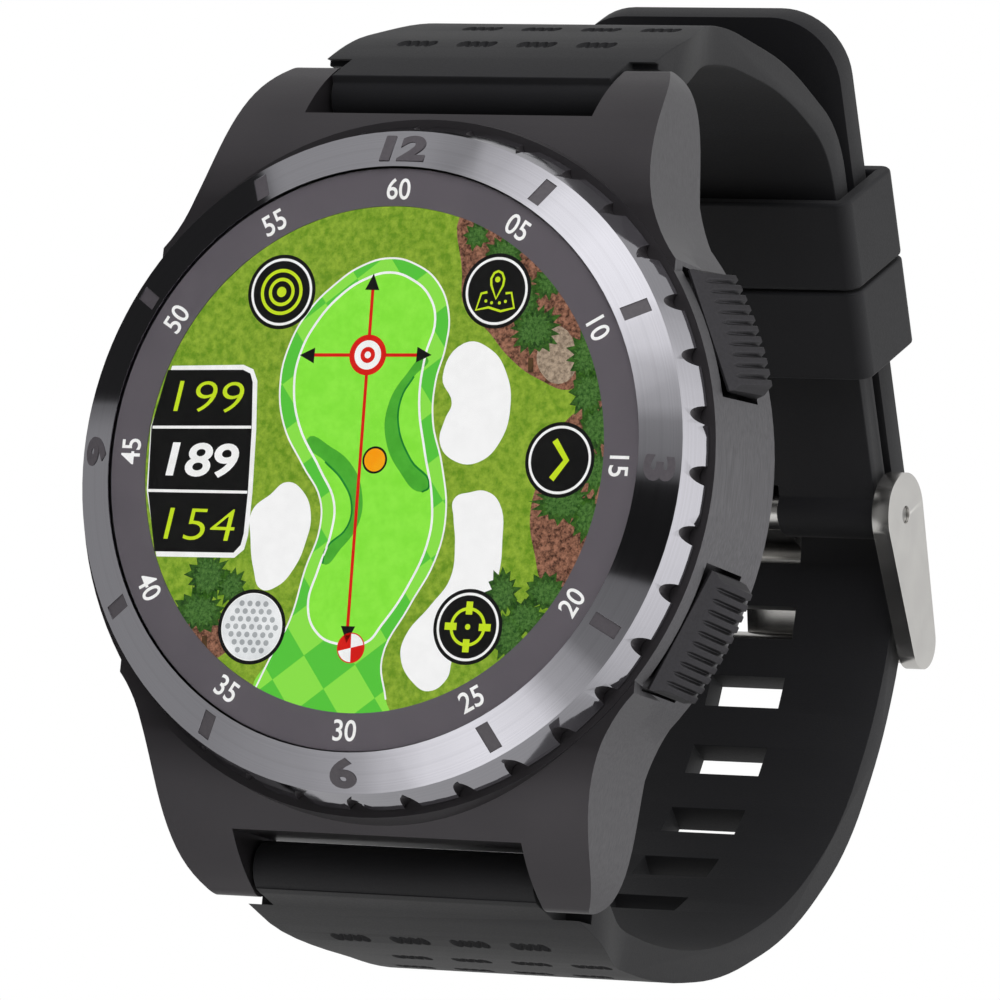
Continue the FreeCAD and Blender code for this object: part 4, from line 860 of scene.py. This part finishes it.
# ---------------------------------------------------------------- case back
# The steel back with its four screws and four gold charging contacts, and what is sealed
# under it. The back is turned on the lathe, so its lines run round the watch's middle.


def dress(nodes, finish):
    """Gives carried-over parts of the frame a finish."""
    for name in nodes:
        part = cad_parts[name]
        part.data.materials.clear()
        part.data.materials.append(finish)


turned_steel, shader, spot = new_finish("turned_stainless_steel", {"Metallic": 1.0})
turning = lathe_lines(turned_steel, spot, 5000, 3, False)
vary(turned_steel, shader, turning.outputs[0], ("#8f8f90", "#b4b4b3"))
vary(turned_steel, shader, turning.outputs[0], (0.24, 0.38), "Roughness")
emboss(turned_steel, shader, turning.outputs[0], 0.003)
dress(["case_back"], turned_steel)

polished = speckled("polished_steel", ("#b8b8b6", "#c9c8c4"), 700,
                    {"Metallic": 1.0}, (0.12, 0.22), 0.001)
gold = speckled("gold_plated_contact", ("#d9a441", "#e6b95c"), 2500,
                {"Metallic": 1.0}, (0.18, 0.30), 0.002)
spring_steel = speckled("drawn_spring_steel", ("#8d8c8a", "#a5a4a0"), 3500,
                        {"Metallic": 1.0}, (0.25, 0.40), 0.002)
seal_rubber = speckled("black_nitrile_rubber", ("#141415", "#1f1f20"), 4200, {},
                       (0.55, 0.75), 0.006)
moulded = speckled("moulded_black_nylon", ("#1c1c1e", "#29292b"), 3800, {},
                   (0.48, 0.62), 0.006)
ceramic = speckled("sintered_ceramic", ("#b9a98c", "#d2c4a8"), 3200, {}, (0.50, 0.70), 0.004)
foil = speckled("cell_foil_wrap", ("#9a9da0", "#b7babd"), 900, {"Metallic": 0.7},
                (0.30, 0.45), 0.010)
board = speckled("solder_masked_board", ("#0d4a2a", "#1a6b3f"), 1600, {}, (0.30, 0.45), 0.010)
dress(["back_screws", "vibration_motor"], polished)
dress(["charging_pins"], gold)
dress(["upper_button_spring", "lower_button_spring", "upper_button_clip", "lower_button_clip",
       "spring_bar_upper", "spring_bar_lower", "buckle_spring_bar"], spring_steel)
dress(["lens_gasket", "back_gasket", "upper_button_seal", "lower_button_seal"], seal_rubber)
dress(["display_bracket", "upper_button_switch", "lower_button_switch", "beeper"], moulded)
dress(["gps_antenna"], ceramic)
dress(["battery"], foil)
dress(["main_board"], board)

# ---------------------------------------------------------------- straps
# Two silicone straps, moulded in one piece each, with a round eye on their spring bars. The
# lower one has the slots and a free tail, the upper one carries the buckle. Their outsides
# have rows of small scalloped hollows, and their surface is matte with a fine moulded grain.
silicone, shader, spot = new_finish("matte_moulded_silicone", {
    "Specular IOR Level": 0.24, "Sheen Weight": 0.05, "Sheen Roughness": 0.5})
pores = add(silicone, "TexNoise", {"Vector": spot, "Scale": 7000, "Detail": 3})
cloud = add(silicone, "TexNoise", {"Vector": spot, "Scale": 120, "Detail": 3})
vary(silicone, shader, cloud.outputs[0], ("#101012", "#161619"))
vary(silicone, shader, pores.outputs[0], (0.52, 0.72), "Roughness")
emboss(silicone, shader, pores.outputs[0], 0.010)

COLUMN_STEP = 4.7
ROW_STEP = 5.2


def hollows(strap, rows, from_z):
    """Sinks staggered rows of scalloped hollows into a strap, seen from above or below it."""
    cutters = []
    for number, y in enumerate(rows):
        shift = -0.4 if number % 2 == 0 else -0.4 + COLUMN_STEP / 2
        for column in range(-2, 2):
            x = shift + column * COLUMN_STEP + COLUMN_STEP / 2
            start = Vector((x, y, from_z)) * MM
            found, where, facing, _ = strap.ray_cast(start, Vector((0, 0, -from_z)))
            if not found:
                continue
            across = Vector((1, 0, 0))
            turn = Matrix((across, facing.cross(across), facing)).transposed().to_4x4()
            for lobe in (-1.05, -0.35, 0.35, 1.05):
                bpy.ops.object.select_all(action="DESELECT")
                bpy.ops.mesh.primitive_uv_sphere_add(segments=12, ring_count=7, radius=MM)
                scoop = bpy.context.object
                place = where + Vector((lobe * MM, 0, 0)) + facing * 0.15 * MM
                scoop.matrix_world = (Matrix.Translation(place) @ turn
                                      @ Matrix.Diagonal((0.5, 0.85, 0.6, 1)))
                bpy.ops.object.transform_apply(location=True, rotation=True, scale=True)
                cutters.append(scoop)
    tool = joined(cutters, "hollow_tool")
    sunk = strap.modifiers.new("hollows", "BOOLEAN")
    sunk.operation = "DIFFERENCE"
    sunk.solver = "EXACT"
    sunk.use_self = True
    sunk.object = tool
    select_only(strap)
    bpy.ops.object.modifier_apply(modifier=sunk.name)
    bpy.data.objects.remove(tool)
    bpy.ops.mesh.customdata_custom_splitnormals_clear()
    bpy.ops.object.shade_smooth_by_angle(angle=math.radians(38))


def moulded_strap(node, name):
    """A strap with its wide stretch beside the case drawn in smoothly, and soft edges."""
    strap = machined(node, name, 0)
    select_only(strap)
    bpy.ops.object.mode_set(mode="EDIT")
    for depth in (0.5, 2.0, 3.5, 5.0, 6.5, 8.0, 9.5):
        bpy.ops.mesh.select_all(action="SELECT")
        bpy.ops.mesh.bisect(plane_co=(0, depth * MM, 0), plane_no=(0, 1, 0))
    bpy.ops.object.mode_set(mode="OBJECT")
    for point in strap.data.vertices:
        aside = abs(point.co.x) / MM - 10.9
        if aside > 0.02:
            share = min(max((11.05 - point.co.y / MM) / 9.5, 0), 1)
            drawn_in = 10.9 + aside * share * share * (3 - 2 * share)
            point.co.x = math.copysign(drawn_in * MM, point.co.x)
    bpy.ops.object.mode_set(mode="EDIT")
    bpy.ops.mesh.select_all(action="SELECT")
    bpy.ops.mesh.remove_doubles(threshold=0.02 * MM)
    bpy.ops.mesh.dissolve_degenerate(threshold=0.01 * MM)
    bpy.ops.mesh.normals_make_consistent(inside=False)
    bpy.ops.object.mode_set(mode="OBJECT")
    break_edges(strap, 0.30, 3, 40)
    return strap


long_strap = moulded_strap("strap_long", "strap_long_silicone")
hollows(long_strap, [4.2 + ROW_STEP * number for number in range(5)], -60)
short_strap = moulded_strap("strap_short", "strap_short_silicone")
hollows(short_strap, [0.8 + ROW_STEP * number for number in range(5)], 60)
for strap, node in ((long_strap, "strap_long"), (short_strap, "strap_short")):
    strap.data.materials.clear()
    strap.data.materials.append(silicone)
    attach(strap, "root")
    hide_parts(node)

# ---------------------------------------------------------------- keepers
# Two silicone loops that slide on the straps and hold the tail down. They are moulded closed,
# with rounded outer corners and edges.
for side in ("upper", "lower"):
    keeper = machined("keeper_" + side, "keeper_" + side + "_silicone", 0.30, steps=3, sharp=40)
    keeper.data.materials.append(silicone)
    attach(keeper, "keeper_" + side)
    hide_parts("keeper_" + side)

# ---------------------------------------------------------------- buckle
# A pin buckle of cast steel: a frame with two arms and a cross bar, and a tang, which both
# turn on one spring bar through the end of the upper strap. It is tumbled bright and buffed.
buffed = speckled("buffed_steel", ("#d6d4d1", "#e6e4e0"), 420, {"Metallic": 1.0},
                  (0.20, 0.30), 0.004)
for node, edge in (("buckle_frame", 0.28), ("buckle_tang", 0.20)):
    piece = machined(node, node + "_buffed", edge, steps=3, sharp=36)
    piece.data.materials.append(buffed)
    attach(piece, node)
    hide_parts(node)
